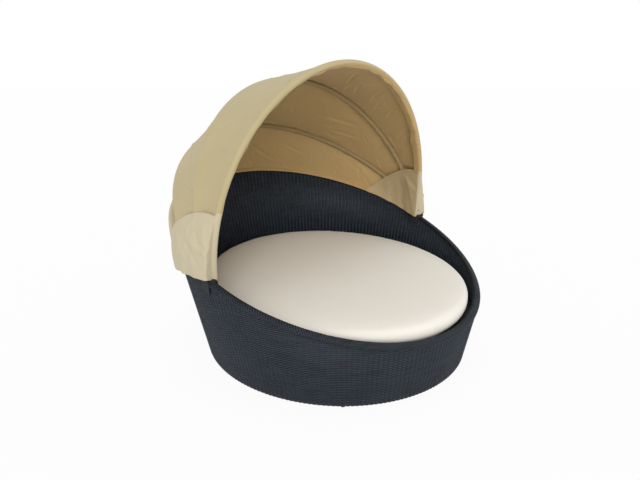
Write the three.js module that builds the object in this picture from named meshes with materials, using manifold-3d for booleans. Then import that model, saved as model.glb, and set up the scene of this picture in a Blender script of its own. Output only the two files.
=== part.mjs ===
// Outdoor daybed with a folding canopy: a round woven tub on a welded frame, a deep cushion,
// and a cloth hood on three bows that turn on two pivots at the sides of the rim.
// Millimetres, +Z up, the low front faces -Y and +X is to the right of someone who looks in.
import * as THREE from 'three';
import { mergeVertices } from 'three/addons/utils/BufferGeometryUtils.js';
import Module from 'manifold-3d';

const wasm = await Module();
wasm.setup();

// Tub outline: an ellipse on the floor that leans outwards, cut off by a plane that climbs to the back
const baseHalfWidth = 760;
const baseHalfDepth = 806;
const sideFlare = 0.154;
const endFlare = 0.128;
const rimHeight = 589;
const rimSlope = 0.3265;
const seatHeight = 319.7;
const seatSlope = 0.0474;

// Clearances
const fitGap = 0.3;
const runningGap = 0.5;
const overrun = 5;

// Tub wall, from outside to inside: wrap, outer weave, frame tube, inner weave, wrap
const wrapThickness = 3;
const wrapOuterLeg = 16;
const wrapInnerLeg = 28;
const wrapCrownRise = 2;
const weaveThickness = 3.5;
const lipWidth = 32;
const lipRound = 4.5;
const ringRadius = 12.5;
const ribRadius = 9.5;
const ribCount = 8;
const deckRingRadius = 11;
const deckBarRadius = 11;
const deckBarSpacing = 330;
const deckBarCount = 4;
const deckPanelThickness = 6;

// Glides under the base ring
const glideRadius = 15;
const glideHeight = 9.2;
const glideChamfer = 2;
const glideStemRadius = 5;
const glideStemLength = 14;
const glideCount = 4;

// Cushion: the room between it and the wall at the deck, on the sides and on average at the ends
const cushionSideGap = 32;
const cushionEndGap = 21.7;
const cushionShiftY = -12;
const cushionThickness = 110;
const cushionCrown = 16;
const cushionEdgeRound = 44;
const cushionWaist = 7;
const coverThickness = 2;
const foamGap = 0.5;
const zipHeight = 9;
const zipThickness = 3;
const zipHalfAngle = 0.72;

// Canopy bows: half ellipses in planes through the pivot axis, nested so that they pass each other.
// The ends of the third bow stand above the outer face of the tub.
const pivotY = 4;
const pivotHeight = 626;
const bowRadius = 11;
const bowSpacing = 24;
const frontBowHeight = 855;
const secondBowHeight = 853;
const thirdBowHeight = 915;
const frontBowAngle = THREE.MathUtils.degToRad(7.5);
const secondBowAngle = THREE.MathUtils.degToRad(-23.7);
const thirdBowAngle = THREE.MathUtils.degToRad(-54.3);
const rearBowRadius = 8;
const rearBowOffset = 14;

// Flattened bow ends
const bladeThickness = 5;
const bladeHalfWidth = 14;
const bladeLength = 46;
const bladeTaper = 22;
const bladeTipShare = 0.25;
const bladeRoundShare = Math.cos(Math.PI / 6);

// Pivot hardware
const pinRadius = 5;
const pinHeadRadius = 9.5;
const pinHeadHeight = 5;
const pinHeadEdgeShare = 0.4;
const pinHeadTopShare = 0.75;
const pinTip = 3;
const spacerRadius = 10;
const nutAcross = 17;
const nutHeight = 8;
const earThickness = 5;
const earRadius = 19;
const saddleThickness = 4;
const saddleLength = 60;
const saddleOuterLeg = 62;
const saddleInnerLeg = 46;
const saddleClearance = 0.9;
const saddleInnerClearance = 3.2;
const socketWall = 1.5;
const socketClearance = 1;
const socketStart = 22;
const socketLength = 30;
const rivetRadius = 3;
const rivetHeadRadius = 6.5;
const rivetHeadHeight = 2.6;
const rivetDrop = 37;
const clipWall = 2;
const clipWidth = 18;
const clipFoot = 13;
const clipTurn = 0.95;

// Canopy cloth
const clothThickness = 2.5;
const clothGap = 2;
const sleeveGap = 0.3;
const seamMargin = 0.6;
const clothSag = 7;
const hemFlap = 34;
const sleeveOpening = 0.3;
const frontEnd = THREE.MathUtils.degToRad(70.5);
const secondEnd = THREE.MathUtils.degToRad(69.5);
const thirdEnd = THREE.MathUtils.degToRad(68);
const rearEnd = THREE.MathUtils.degToRad(65.5);
const skirtEnd = THREE.MathUtils.degToRad(86);
const skirtSideStart = THREE.MathUtils.degToRad(50);
const skirtSideFull = THREE.MathUtils.degToRad(72);
const skirtEndStart = THREE.MathUtils.degToRad(77);
const skirtWaves = 14;
const skirtBackDrop = 22;
const skirtSideDrop = 60;
const skirtBackStand = 8;
const skirtSideStand = 38;
const skirtEndStand = 27;
const skirtWave = 7;
const patchBulge = 31;
const patchApexStand = 24;
const patchApexDrop = 20;
const patchApexRadius = 16;
const liningBulge = 16;
const liningApexStand = 12;
const liningApexDrop = 36;

// How fine the faceting is
const turnSteps = 48;
const cushionSteps = 32;
const clothSteps = 24;
const roundSides = 8;
const holeSides = 12;
const rearSteps = 36;
const goreRows = 3;
const hemRows = 5;
const sleeveRows = 3;
const patchSteps = 12;
const patchRows = 4;
const skirtRows = 3;
const skirtColumns = 36;
const bendSteps = 3;
const arcSteps = 6;
const strapSteps = 4;

// Materials
const steel = { color: 0x2b2e31, roughness: 0.55, metalness: 0.6 };
const zinc = { color: 0x8d9093, roughness: 0.35, metalness: 0.9 };
const wicker = { color: 0x24282d, roughness: 0.6, metalness: 0 };
const plastic = { color: 0x1b1c1e, roughness: 0.7, metalness: 0 };
const canvas = { color: 0xbfb08a, roughness: 0.95, metalness: 0 };
const cream = { color: 0xdedace, roughness: 0.95, metalness: 0 };
const foamColour = { color: 0xe6e0cf, roughness: 1, metalness: 0 };

// Radius of a faceted hole that clears a round bar by the fit gap
const holeFor = (radius, sides) => (radius + fitGap) / Math.cos(Math.PI / sides);

// Sizes that follow from the ones above
const outerWeaveOffset = wrapThickness + fitGap;
const frameOffset = outerWeaveOffset + weaveThickness + fitGap;
const ringOffset = frameOffset + ringRadius;
const innerWeaveOffset = ringOffset + ringRadius + fitGap;
const innerWrapOffset = innerWeaveOffset + weaveThickness + fitGap;
const wallThickness = innerWrapOffset + wrapThickness;
const ribOffset = frameOffset + ribRadius;
const deckRingOffset = ribOffset + ribRadius + fitGap + deckRingRadius;
const rimLean = Math.atan(rimSlope);
const stretch = 1 / Math.cos(rimLean);
const rimDirection = new THREE.Vector3(0, Math.cos(rimLean), Math.sin(rimLean));
const rimNormal = new THREE.Vector3(0, -Math.sin(rimLean), Math.cos(rimLean));
const lipHeight = glideHeight + fitGap;
const baseRingHeight = lipHeight + weaveThickness + fitGap + ringRadius;
const cushionHalfWidth = baseHalfWidth + sideFlare * seatHeight - wallThickness - cushionSideGap;
const cushionHalfDepth = baseHalfDepth + endFlare * seatHeight - wallThickness - cushionEndGap;
const rimAtPivot = rimHeight + rimSlope * pivotY;
const outerFaceX = baseHalfWidth + sideFlare * rimAtPivot;
const thirdBowHalfWidth = outerFaceX;
const secondBowHalfWidth = thirdBowHalfWidth - bowSpacing;
const frontBowHalfWidth = secondBowHalfWidth - bowSpacing;
const crestOffset = bowRadius + clothGap + clothThickness / 2;
const sleeveOffset = bowRadius + sleeveGap + clothThickness / 2;
const socketRadius = rearBowRadius + socketClearance + socketWall;
const rearBowRise = socketRadius + wrapCrownRise + fitGap;
const clipOffset = holeFor(rearBowRadius, roundSides);
const rearCrestOffset = clipOffset + clipWall + clothGap + clothThickness / 2;

const daybed = new THREE.Group();
const tub = new THREE.Group();
const seat = new THREE.Group();
const canopy = new THREE.Group();
daybed.add(tub, seat, canopy);

function addPiece(parent, name, geometry, look) {
  const piece = new THREE.Mesh(geometry, new THREE.MeshStandardMaterial(look));
  piece.name = name;
  parent.add(piece);
  return piece;
}

// Closed bodies

function signedVolume(points, faces) {
  const across = new THREE.Vector3();
  let volume = 0;
  for (let i = 0; i < faces.length; i += 3) {
    across.crossVectors(points[faces[i + 1]], points[faces[i + 2]]);
    volume += points[faces[i]].dot(across);
  }
  return volume;
}

function bodyFrom(points, faces) {
  const outward = signedVolume(points, faces) > 0 ? faces : faces.slice().reverse();
  const geometry = new THREE.BufferGeometry().setFromPoints(points);
  geometry.setIndex(outward);
  geometry.computeVertexNormals();
  return geometry;
}

// Joins outlines of equal length, in a ring or with a flat end on each side
function loft(sections, closed) {
  const width = sections[0].length;
  const count = sections.length;
  const spans = closed ? count : count - 1;
  const faces = [];
  for (let i = 0; i < spans; i += 1) {
    const near = i * width;
    const far = ((i + 1) % count) * width;
    for (let j = 0; j < width; j += 1) {
      const next = (j + 1) % width;
      faces.push(near + j, near + next, far + next, near + j, far + next, far + j);
    }
  }
  if (!closed) {
    const last = (count - 1) * width;
    for (let j = 1; j < width - 1; j += 1) {
      faces.push(0, j + 1, j, last, last + j, last + j + 1);
    }
  }
  return bodyFrom(sections.flat(), faces);
}

// A stack of rings closed by a middle point at the bottom and at the top
function domed(rings, bottom, top) {
  const width = rings[0].length;
  const points = [...rings.flat(), bottom, top];
  const faces = [];
  for (let i = 0; i < rings.length - 1; i += 1) {
    for (let j = 0; j < width; j += 1) {
      const next = (j + 1) % width;
      const near = i * width;
      const far = near + width;
      faces.push(near + j, near + next, far + next, near + j, far + next, far + j);
    }
  }
  const lastRing = (rings.length - 1) * width;
  for (let j = 0; j < width; j += 1) {
    const next = (j + 1) % width;
    faces.push(points.length - 2, next, j, points.length - 1, lastRing + j, lastRing + next);
  }
  return bodyFrom(points, faces);
}

// A sheet of even thickness about a grid of points
function sheet(grid, thickness) {
  const rows = grid.length;
  const columns = grid[0].length;
  const halfThickness = thickness / 2;
  const outer = [];
  const inner = [];
  const along = new THREE.Vector3();
  const across = new THREE.Vector3();
  for (let i = 0; i < rows; i += 1) {
    for (let j = 0; j < columns; j += 1) {
      along.subVectors(grid[Math.min(i + 1, rows - 1)][j], grid[Math.max(i - 1, 0)][j]);
      across.subVectors(grid[i][Math.min(j + 1, columns - 1)], grid[i][Math.max(j - 1, 0)]);
      const normal = new THREE.Vector3().crossVectors(along, across).setLength(halfThickness);
      outer.push(grid[i][j].clone().add(normal));
      inner.push(grid[i][j].clone().sub(normal));
    }
  }
  const back = outer.length;
  const faces = [];
  const quad = (a, b, c, d) => faces.push(a, b, c, a, c, d);
  const at = (i, j) => i * columns + j;
  for (let i = 0; i < rows - 1; i += 1) {
    for (let j = 0; j < columns - 1; j += 1) {
      quad(at(i, j), at(i + 1, j), at(i + 1, j + 1), at(i, j + 1));
      quad(back + at(i, j), back + at(i, j + 1), back + at(i + 1, j + 1), back + at(i + 1, j));
    }
    quad(at(i, 0), back + at(i, 0), back + at(i + 1, 0), at(i + 1, 0));
    const last = columns - 1;
    quad(at(i, last), at(i + 1, last), back + at(i + 1, last), back + at(i, last));
  }
  for (let j = 0; j < columns - 1; j += 1) {
    quad(at(0, j), at(0, j + 1), back + at(0, j + 1), back + at(0, j));
    quad(at(rows - 1, j), back + at(rows - 1, j), back + at(rows - 1, j + 1), at(rows - 1, j + 1));
  }
  return bodyFrom([...outer, ...inner], faces);
}

// Cuts and joins

function toSolid(geometry) {
  const bare = geometry.clone();
  bare.deleteAttribute('normal');
  bare.deleteAttribute('uv');
  const merged = mergeVertices(bare);
  const vertProperties = new Float32Array(merged.attributes.position.array);
  const triVerts = new Uint32Array(merged.index.array);
  return new wasm.Manifold(new wasm.Mesh({ numProp: 3, vertProperties, triVerts }));
}

function toGeometry(solid) {
  const mesh = solid.getMesh();
  const geometry = new THREE.BufferGeometry();
  geometry.setAttribute('position', new THREE.BufferAttribute(mesh.vertProperties, 3));
  geometry.setIndex(new THREE.BufferAttribute(mesh.triVerts, 1));
  geometry.computeVertexNormals();
  return geometry;
}

function cut(geometry, tools) {
  return toGeometry(tools.reduce((solid, tool) => solid.subtract(toSolid(tool)), toSolid(geometry)));
}

function joined(geometries) {
  return toGeometry(geometries.map(toSolid).reduce((whole, solid) => whole.add(solid)));
}

// A flat shape drawn out along Z
function plateFrom(shape, depth, curveSegments) {
  return new THREE.ExtrudeGeometry(shape, { depth, curveSegments, bevelEnabled: false });
}

// A round bar between two points
function bar(from, to, radius, sides) {
  const length = from.distanceTo(to);
  const turned = new THREE.CylinderGeometry(radius, radius, length, sides);
  const direction = new THREE.Vector3().subVectors(to, from).normalize();
  const turn = new THREE.Quaternion().setFromUnitVectors(new THREE.Vector3(0, 1, 0), direction);
  turned.applyQuaternion(turn);
  const middle = new THREE.Vector3().addVectors(from, to).multiplyScalar(1 / 2);
  return turned.translate(middle.x, middle.y, middle.z);
}

// Tub wall geometry: a turn of 0 is the front, a quarter turn is the right side

const turns = Array.from({ length: turnSteps }, (_, i) => (i * 2 * Math.PI) / turnSteps);
const levelPlane = (height) => ({ height, slope: 0 });
const rimPlane = (drop) => ({ height: rimHeight - drop, slope: rimSlope });
const seatPlane = (rise) => ({ height: seatHeight + rise, slope: seatSlope });

function wallPoint(turn, offset, z) {
  const x = Math.sin(turn) * (baseHalfWidth - offset + sideFlare * z);
  const y = -Math.cos(turn) * (baseHalfDepth - offset + endFlare * z);
  return new THREE.Vector3(x, y, z);
}

function onWall(turn, offset, plane) {
  const back = -Math.cos(turn);
  const rise = plane.slope * back;
  return wallPoint(turn, offset, (plane.height + rise * (baseHalfDepth - offset)) / (1 - rise * endFlare));
}

// A ring of the wall whose section is given as pairs of offset and plane
function wallRing(section) {
  return loft(turns.map((turn) => section.map(([offset, plane]) => onWall(turn, offset, plane))), true);
}

// A round tube that follows the wall in a plane
function ringTube(offset, plane, radius) {
  const up = new THREE.Vector3(0, -plane.slope, 1).normalize();
  const sections = turns.map((turn) => {
    const centre = onWall(turn, offset, plane);
    const before = onWall(turn - Math.PI / turnSteps, offset, plane);
    const after = onWall(turn + Math.PI / turnSteps, offset, plane);
    const side = after.sub(before).cross(up).normalize();
    return Array.from({ length: roundSides }, (_, k) => {
      const angle = ((k + 1 / 2) * 2 * Math.PI) / roundSides;
      const point = centre.clone().addScaledVector(side, radius * Math.cos(angle));
      return point.addScaledVector(up, radius * Math.sin(angle));
    });
  });
  return loft(sections, true);
}

// Frame of the tub: base ring, ribs, rim ring and the deck that carries the cushion

const basePlane = levelPlane(baseRingHeight);
const rimRingPlane = rimPlane((wrapThickness + fitGap + ringRadius) * stretch);
const deckRingPlane = seatPlane(-deckPanelThickness - fitGap - deckRingRadius);
const fatBaseRing = ringTube(ringOffset, basePlane, holeFor(ringRadius, roundSides));
const fatRimRing = ringTube(ringOffset, rimRingPlane, holeFor(ringRadius, roundSides));
const fatDeckRing = ringTube(deckRingOffset, deckRingPlane, deckRingRadius + fitGap);

// The glides' stems go up through the weave's lip into drilled holes in the base ring
const glideTurns = Array.from({ length: glideCount }, (_, i) => ((i + 1 / 2) * 2 * Math.PI) / glideCount);

const glidePlace = (turn) => wallPoint(turn, ringOffset, lipHeight);

function glideHole(turn) {
  const bottom = glidePlace(turn).setZ(glideHeight);
  const top = glidePlace(turn).setZ(glideHeight + glideStemLength + fitGap);
  return bar(bottom, top, holeFor(glideStemRadius, roundSides), roundSides);
}

const glideHoles = glideTurns.map(glideHole);
addPiece(tub, 'base_ring', cut(ringTube(ringOffset, basePlane, ringRadius), glideHoles), steel);
addPiece(tub, 'rim_ring', ringTube(ringOffset, rimRingPlane, ringRadius), steel);
addPiece(tub, 'deck_ring', ringTube(deckRingOffset, deckRingPlane, deckRingRadius), steel);

for (let i = 0; i < ribCount; i += 1) {
  const turn = ((i + 1 / 2) * 2 * Math.PI) / ribCount;
  const foot = onWall(turn, ribOffset, levelPlane(baseRingHeight + ringRadius / 2));
  const head = onWall(turn, ribOffset, rimPlane((wrapThickness + fitGap + ringRadius * 3 / 2) * stretch));
  const rib = cut(bar(foot, head, ribRadius, roundSides), [fatBaseRing, fatRimRing, fatDeckRing]);
  addPiece(tub, `rib_${i + 1}`, rib, steel);
}

for (let i = 0; i < deckBarCount; i += 1) {
  const y = (i - (deckBarCount - 1) / 2) * deckBarSpacing;
  const depthRing = baseHalfDepth - deckRingOffset + endFlare * deckRingPlane.height;
  const right = onWall(Math.acos(-y / depthRing), deckRingOffset + deckRingRadius / 2, deckRingPlane);
  const left = right.clone().setX(-right.x);
  const crossBar = cut(bar(left, right, deckBarRadius, roundSides), [fatDeckRing]);
  addPiece(tub, `deck_bar_${i + 1}`, crossBar, steel);
}

// Woven deck panel: an oval slab that lies on the deck ring and bars, inside the inner weave
const panelRings = [-deckPanelThickness, 0].map((rise) =>
  turns.map((turn) => onWall(turn, innerWrapOffset, seatPlane(rise))));
const panelBottom = new THREE.Vector3(0, 0, seatHeight - deckPanelThickness);
const panelTop = new THREE.Vector3(0, 0, seatHeight);
addPiece(tub, 'deck_panel', domed(panelRings, panelBottom, panelTop), wicker);

for (const [i, turn] of glideTurns.entries()) {
  const outline = [
    [0, 0],
    [glideRadius - glideChamfer, 0],
    [glideRadius, glideChamfer],
    [glideRadius, glideHeight - glideChamfer],
    [glideRadius - glideChamfer, glideHeight],
    [glideStemRadius, glideHeight],
    [glideStemRadius, glideHeight + glideStemLength],
    [0, glideHeight + glideStemLength],
  ];
  const glide = new THREE.LatheGeometry(outline.map(([r, z]) => new THREE.Vector2(r, z)), roundSides);
  const place = glidePlace(turn);
  const foot = addPiece(tub, `foot_${i + 1}`, glide, plastic);
  foot.rotation.x = Math.PI / 2;
  foot.position.set(place.x, place.y, 0);
}

// The fixed rear bow lies on the rim and ends in the sockets of the brackets

const rearPlane = rimPlane(-rearBowRise * stretch);
const rearCentre = (u) => onWall(Math.PI - u, rearBowOffset, rearPlane);
const rearHalfDepth = baseHalfDepth - rearBowOffset + endFlare * rimHeight;
const rearTurnAt = (along) => Math.acos((pivotY + along * Math.cos(rimLean)) / rearHalfDepth);

class RearCurve extends THREE.Curve {
  constructor(reach) {
    super();
    this.reach = reach;
  }

  getPoint(share, target = new THREE.Vector3()) {
    return target.copy(rearCentre((1 - 2 * share) * this.reach));
  }
}

const rearSection = new THREE.Shape();
for (let k = 0; k < roundSides; k += 1) {
  const angle = (k * 2 * Math.PI) / roundSides;
  rearSection[k ? 'lineTo' : 'moveTo'](rearBowRadius * Math.cos(angle), rearBowRadius * Math.sin(angle));
}
const rearBow = new THREE.ExtrudeGeometry(rearSection, {
  steps: rearSteps, bevelEnabled: false, extrudePath: new RearCurve(rearTurnAt(socketStart + fitGap)),
});
addPiece(tub, 'bow_rear', rearBow, steel);

// Directions at the rear bow: along it, and outwards in the plane of the rim
function rearAlong(u) {
  const step = Math.PI / turnSteps;
  return rearCentre(u + step).sub(rearCentre(u - step)).normalize();
}

const rearOutward = (u) => new THREE.Vector3().crossVectors(rimNormal, rearAlong(u)).normalize();

// Pivot hardware, drawn for the right side and mirrored to the left

const pivot = new THREE.Vector3(0, pivotY, pivotHeight);
const bladeFace = thirdBowHalfWidth + bladeThickness / 2;
const earInner = bladeFace + runningGap;
const earOuter = earInner + earThickness;
const nutOuter = frontBowHalfWidth - bladeThickness / 2 - runningGap;
const wallLean = sideFlare * Math.cos(rimLean);

// Takes a shape drawn across the rim, with its first axis outwards and its second up from the rim,
// and slants it with the wall
function acrossRim(geometry, side) {
  const lean = new THREE.Matrix4();
  lean.elements[4] = wallLean;
  const up = rimNormal.clone();
  const out = new THREE.Vector3(1, 0, 0);
  const basis = new THREE.Matrix4().makeBasis(out, up, new THREE.Vector3().crossVectors(out, up));
  const place = new THREE.Matrix4().makeTranslation(outerFaceX, pivotY, rimAtPivot);
  const mirror = new THREE.Matrix4().makeScale(side, 1, 1);
  const placed = geometry.clone().applyMatrix4(mirror.multiply(place).multiply(basis).multiply(lean));
  return side > 0 ? placed : turnedOut(placed);
}

function turnedOut(geometry) {
  const flipped = geometry.index ? geometry : mergeVertices(stripped(geometry));
  const index = flipped.index.array;
  for (let i = 0; i < index.length; i += 3) {
    [index[i], index[i + 1]] = [index[i + 1], index[i]];
  }
  return flipped;
}

function stripped(geometry) {
  geometry.deleteAttribute('normal');
  geometry.deleteAttribute('uv');
  return geometry;
}

function mirrored(geometry, side) {
  if (side > 0) {
    return geometry;
  }
  return turnedOut(stripped(geometry.clone()).scale(-1, 1, 1));
}

// A round bar along the pivot axis
function pivotBar(from, to, radius, side) {
  const start = new THREE.Vector3(side * from, pivotY, pivotHeight);
  const end = new THREE.Vector3(side * to, pivotY, pivotHeight);
  return bar(start, end, radius, holeSides);
}

const saddleOuter = saddleClearance + saddleThickness;
const saddleSpan = saddleOuter + wallThickness + saddleInnerClearance + saddleThickness;

function saddle(side) {
  const outer = saddleOuter;
  const inner = saddleOuter - saddleSpan;
  const top = wrapCrownRise + saddleClearance + saddleThickness;
  const profile = new THREE.Shape();
  profile.moveTo(outer, -saddleOuterLeg);
  profile.lineTo(outer, top - saddleThickness);
  profile.quadraticCurveTo(outer, top, outer - saddleThickness, top);
  profile.lineTo(inner + saddleThickness, top);
  profile.quadraticCurveTo(inner, top, inner, top - saddleThickness);
  profile.lineTo(inner, -saddleInnerLeg);
  profile.lineTo(inner + saddleThickness, -saddleInnerLeg);
  profile.lineTo(inner + saddleThickness, top - saddleThickness);
  profile.lineTo(outer - saddleThickness, top - saddleThickness);
  profile.lineTo(outer - saddleThickness, -saddleOuterLeg);
  const bent = plateFrom(profile, saddleLength, bendSteps);
  bent.translate(0, 0, -saddleLength / 2);
  return acrossRim(bent, side);
}

// The upright plate that carries the pivot pin
function ear(side) {
  const top = wrapCrownRise + saddleClearance + saddleThickness;
  const rise = (pivotHeight - rimAtPivot) * Math.cos(rimLean);
  const slip = (pivotHeight - rimAtPivot) * Math.sin(rimLean);
  const plate = new THREE.Shape();
  plate.moveTo(-saddleLength / 2, top - saddleThickness);
  plate.lineTo(saddleLength / 2, top - saddleThickness);
  plate.lineTo(slip + earRadius, rise);
  plate.absarc(slip, rise, earRadius, 0, Math.PI, false);
  plate.lineTo(-saddleLength / 2, top);
  const flat = plateFrom(plate, earThickness, arcSteps);
  const basis = new THREE.Matrix4().makeBasis(rimDirection, rimNormal, new THREE.Vector3(1, 0, 0));
  flat.applyMatrix4(basis);
  flat.translate(earInner, pivotY, rimAtPivot);
  return mirrored(flat, side);
}

// The sleeve on the saddle that takes the end of the fixed rear bow
function socket(side) {
  const ring = new THREE.Shape();
  ring.absarc(0, 0, socketRadius, 0, 2 * Math.PI, false);
  const bore = new THREE.Path();
  bore.absarc(0, 0, rearBowRadius + socketClearance, 0, 2 * Math.PI, true);
  ring.holes.push(bore);
  const sleeve = plateFrom(ring, socketLength, arcSteps);
  sleeve.translate(0, 0, -socketLength / 2);
  return onRearBow(sleeve, side);
}

// Turns a shape drawn along Z to the place where the rear bow enters its socket
function onRearBow(geometry, side) {
  const u = rearTurnAt(socketStart + socketLength / 2);
  const centre = rearCentre(u);
  const turn = new THREE.Quaternion().setFromUnitVectors(new THREE.Vector3(0, 0, 1), rearAlong(u).negate());
  geometry.applyQuaternion(turn);
  geometry.translate(centre.x, centre.y, centre.z);
  return mirrored(geometry, side);
}

// The bore of the socket, with the clearance that the bow's curve needs
function socketBore(side) {
  const radius = rearBowRadius + socketClearance;
  const plug = new THREE.CylinderGeometry(radius, radius, socketLength + 2 * overrun, holeSides);
  plug.rotateX(Math.PI / 2);
  return onRearBow(plug, side);
}

// The rivet goes through both legs of the saddle and the wall between them, below the rim ring
function rivet(side) {
  const outline = [
    [0, -fitGap - rivetHeadHeight],
    [rivetHeadRadius, -fitGap],
    [rivetRadius, -fitGap],
    [rivetRadius, saddleSpan + fitGap],
    [rivetHeadRadius, saddleSpan + fitGap],
    [0, saddleSpan + fitGap + rivetHeadHeight],
  ];
  const body = new THREE.LatheGeometry(outline.map(([r, y]) => new THREE.Vector2(r, y)), roundSides);
  body.rotateZ(Math.PI / 2);
  body.translate(saddleOuter, -rivetDrop, 0);
  return acrossRim(body, side);
}

function rivetHole(side) {
  const radius = holeFor(rivetRadius, roundSides);
  const drill = new THREE.CylinderGeometry(radius, radius, saddleSpan + 2 * overrun, roundSides);
  drill.rotateZ(Math.PI / 2);
  drill.translate(saddleOuter - saddleSpan / 2, -rivetDrop, 0);
  return acrossRim(drill, side);
}

const sides = [['right', 1], ['left', -1]];
const rivetHoles = sides.map(([, side]) => rivetHole(side));

for (const [word, side] of sides) {
  const pinHole = pivotBar(earInner - overrun, earOuter + overrun, holeFor(pinRadius, holeSides), side);
  const whole = joined([saddle(side), ear(side), socket(side)]);
  const bracket = cut(whole, [pinHole, socketBore(side), ...rivetHoles]);
  addPiece(tub, `pivot_bracket_${word}`, bracket, steel);
  addPiece(tub, `bracket_rivet_${word}`, rivet(side), zinc);
}

// Skins of the tub

const skinTop = rimPlane((wrapThickness + runningGap) * stretch);
const lipTop = lipHeight + weaveThickness;
const outerWeave = wallRing([
  [outerWeaveOffset, skinTop],
  [outerWeaveOffset, levelPlane(lipHeight + lipRound)],
  [outerWeaveOffset + lipRound, levelPlane(lipHeight)],
  [outerWeaveOffset + lipWidth, levelPlane(lipHeight)],
  [outerWeaveOffset + lipWidth, levelPlane(lipTop)],
  [outerWeaveOffset + lipRound + weaveThickness / 2, levelPlane(lipTop)],
  [outerWeaveOffset + weaveThickness, levelPlane(lipTop + lipRound - weaveThickness / 2)],
  [outerWeaveOffset + weaveThickness, skinTop],
]);
addPiece(tub, 'outer_weave', cut(outerWeave, [...glideHoles, ...rivetHoles]), wicker);

const innerFoot = seatPlane(-deckPanelThickness);
const innerWeave = wallRing([
  [innerWeaveOffset, innerFoot],
  [innerWeaveOffset, skinTop],
  [innerWeaveOffset + weaveThickness, skinTop],
  [innerWeaveOffset + weaveThickness, innerFoot],
]);
addPiece(tub, 'inner_weave', cut(innerWeave, rivetHoles), wicker);

const rimWrap = wallRing([
  [0, rimPlane(wrapOuterLeg)],
  [0, rimPlane(wrapThickness)],
  [wrapThickness, rimPlane(0)],
  [wallThickness / 2, rimPlane(-wrapCrownRise)],
  [wallThickness - wrapThickness, rimPlane(0)],
  [wallThickness, rimPlane(wrapThickness)],
  [wallThickness, rimPlane(wrapInnerLeg)],
  [innerWrapOffset, rimPlane(wrapInnerLeg)],
  [innerWrapOffset, rimPlane(wrapThickness * stretch)],
  [wrapThickness, rimPlane(wrapThickness * stretch)],
  [wrapThickness, rimPlane(wrapOuterLeg)],
]);
addPiece(tub, 'rim_wrap', cut(rimWrap, rivetHoles), wicker);

// Cushion: cover, foam and the zip in the back of the cover

// Rings of a cushion whose sides are drawn in at half height and whose top is crowned
function cushionBody(inset, edgeShares, crownShares) {
  const height = cushionThickness - 2 * inset;
  const round = cushionEdgeRound - inset;
  const profile = [];
  for (const share of edgeShares) {
    const turn = (share * Math.PI) / 2;
    profile.push([round * (1 - Math.sin(turn)), round * (1 - Math.cos(turn))]);
  }
  profile.push([cushionWaist, height / 2]);
  for (const share of edgeShares.slice().reverse()) {
    const turn = (share * Math.PI) / 2;
    profile.push([round * (1 - Math.sin(turn)), height - round * (1 - Math.cos(turn))]);
  }
  const flatTopInset = profile.at(-1)[0];
  const ringAt = (halfX, halfY, rise) => Array.from({ length: cushionSteps }, (_, i) => {
    const turn = (i * 2 * Math.PI) / cushionSteps;
    const y = cushionShiftY - Math.cos(turn) * halfY;
    return new THREE.Vector3(Math.sin(turn) * halfX, y, seatHeight + fitGap + inset + rise + seatSlope * y);
  });
  const rings = profile.map(([drawn, rise]) =>
    ringAt(cushionHalfWidth - inset - drawn, cushionHalfDepth - inset - drawn, rise));
  for (const share of crownShares) {
    const halfX = (cushionHalfWidth - inset - flatTopInset) * (1 - share);
    const halfY = (cushionHalfDepth - inset - flatTopInset) * (1 - share);
    rings.push(ringAt(halfX, halfY, height + cushionCrown * (1 - (1 - share) ** 2)));
  }
  const bottom = seatHeight + fitGap + inset + seatSlope * cushionShiftY;
  const middle = new THREE.Vector3(0, cushionShiftY, bottom);
  return domed(rings, middle, middle.clone().setZ(bottom + height + cushionCrown));
}

// The slot for the zip runs along the back edge, at half height
function zipBand(grow, innerInset, outerInset) {
  const rise = cushionThickness / 2;
  const half = zipHeight / 2 + grow;
  const steps = cushionSteps / 4;
  const sweep = zipHalfAngle + grow / cushionHalfDepth;
  const sections = Array.from({ length: steps + 1 }, (_, i) => {
    const turn = Math.PI - sweep + (2 * sweep * i) / steps;
    const corner = (inset, lift) => {
      const y = cushionShiftY - Math.cos(turn) * (cushionHalfDepth - inset);
      const z = seatHeight + fitGap + rise + lift + seatSlope * y;
      return new THREE.Vector3(Math.sin(turn) * (cushionHalfWidth - inset), y, z);
    };
    return [
      corner(outerInset, -half),
      corner(outerInset, half),
      corner(innerInset, half),
      corner(innerInset, -half),
    ];
  });
  return loft(sections, false);
}

const outerEdgeShares = [0, 0.4, 0.75, 1];
const innerEdgeShares = [0, 0.6, 1];
const crownShares = [0.35];
const coverInner = cushionBody(coverThickness, innerEdgeShares, crownShares);
const zipDepth = cushionWaist + coverThickness + zipThickness;
const zipSlot = zipBand(fitGap, zipDepth, -overrun);
const cover = cut(cushionBody(0, outerEdgeShares, crownShares), [coverInner, zipSlot]);
addPiece(seat, 'cushion_cover', cover, cream);
const foam = cushionBody(coverThickness + foamGap, innerEdgeShares, crownShares);
addPiece(seat, 'cushion_foam', cut(foam, [zipSlot]), foamColour);
addPiece(seat, 'cushion_zip', zipBand(0, zipDepth - fitGap, zipDepth - fitGap - zipThickness), plastic);

// Canopy bows

const bows = {
  front: { halfWidth: frontBowHalfWidth, height: frontBowHeight, angle: frontBowAngle, end: frontEnd },
  second: { halfWidth: secondBowHalfWidth, height: secondBowHeight, angle: secondBowAngle, end: secondEnd },
  third: { halfWidth: thirdBowHalfWidth, height: thirdBowHeight, angle: thirdBowAngle, end: thirdEnd },
};

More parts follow.
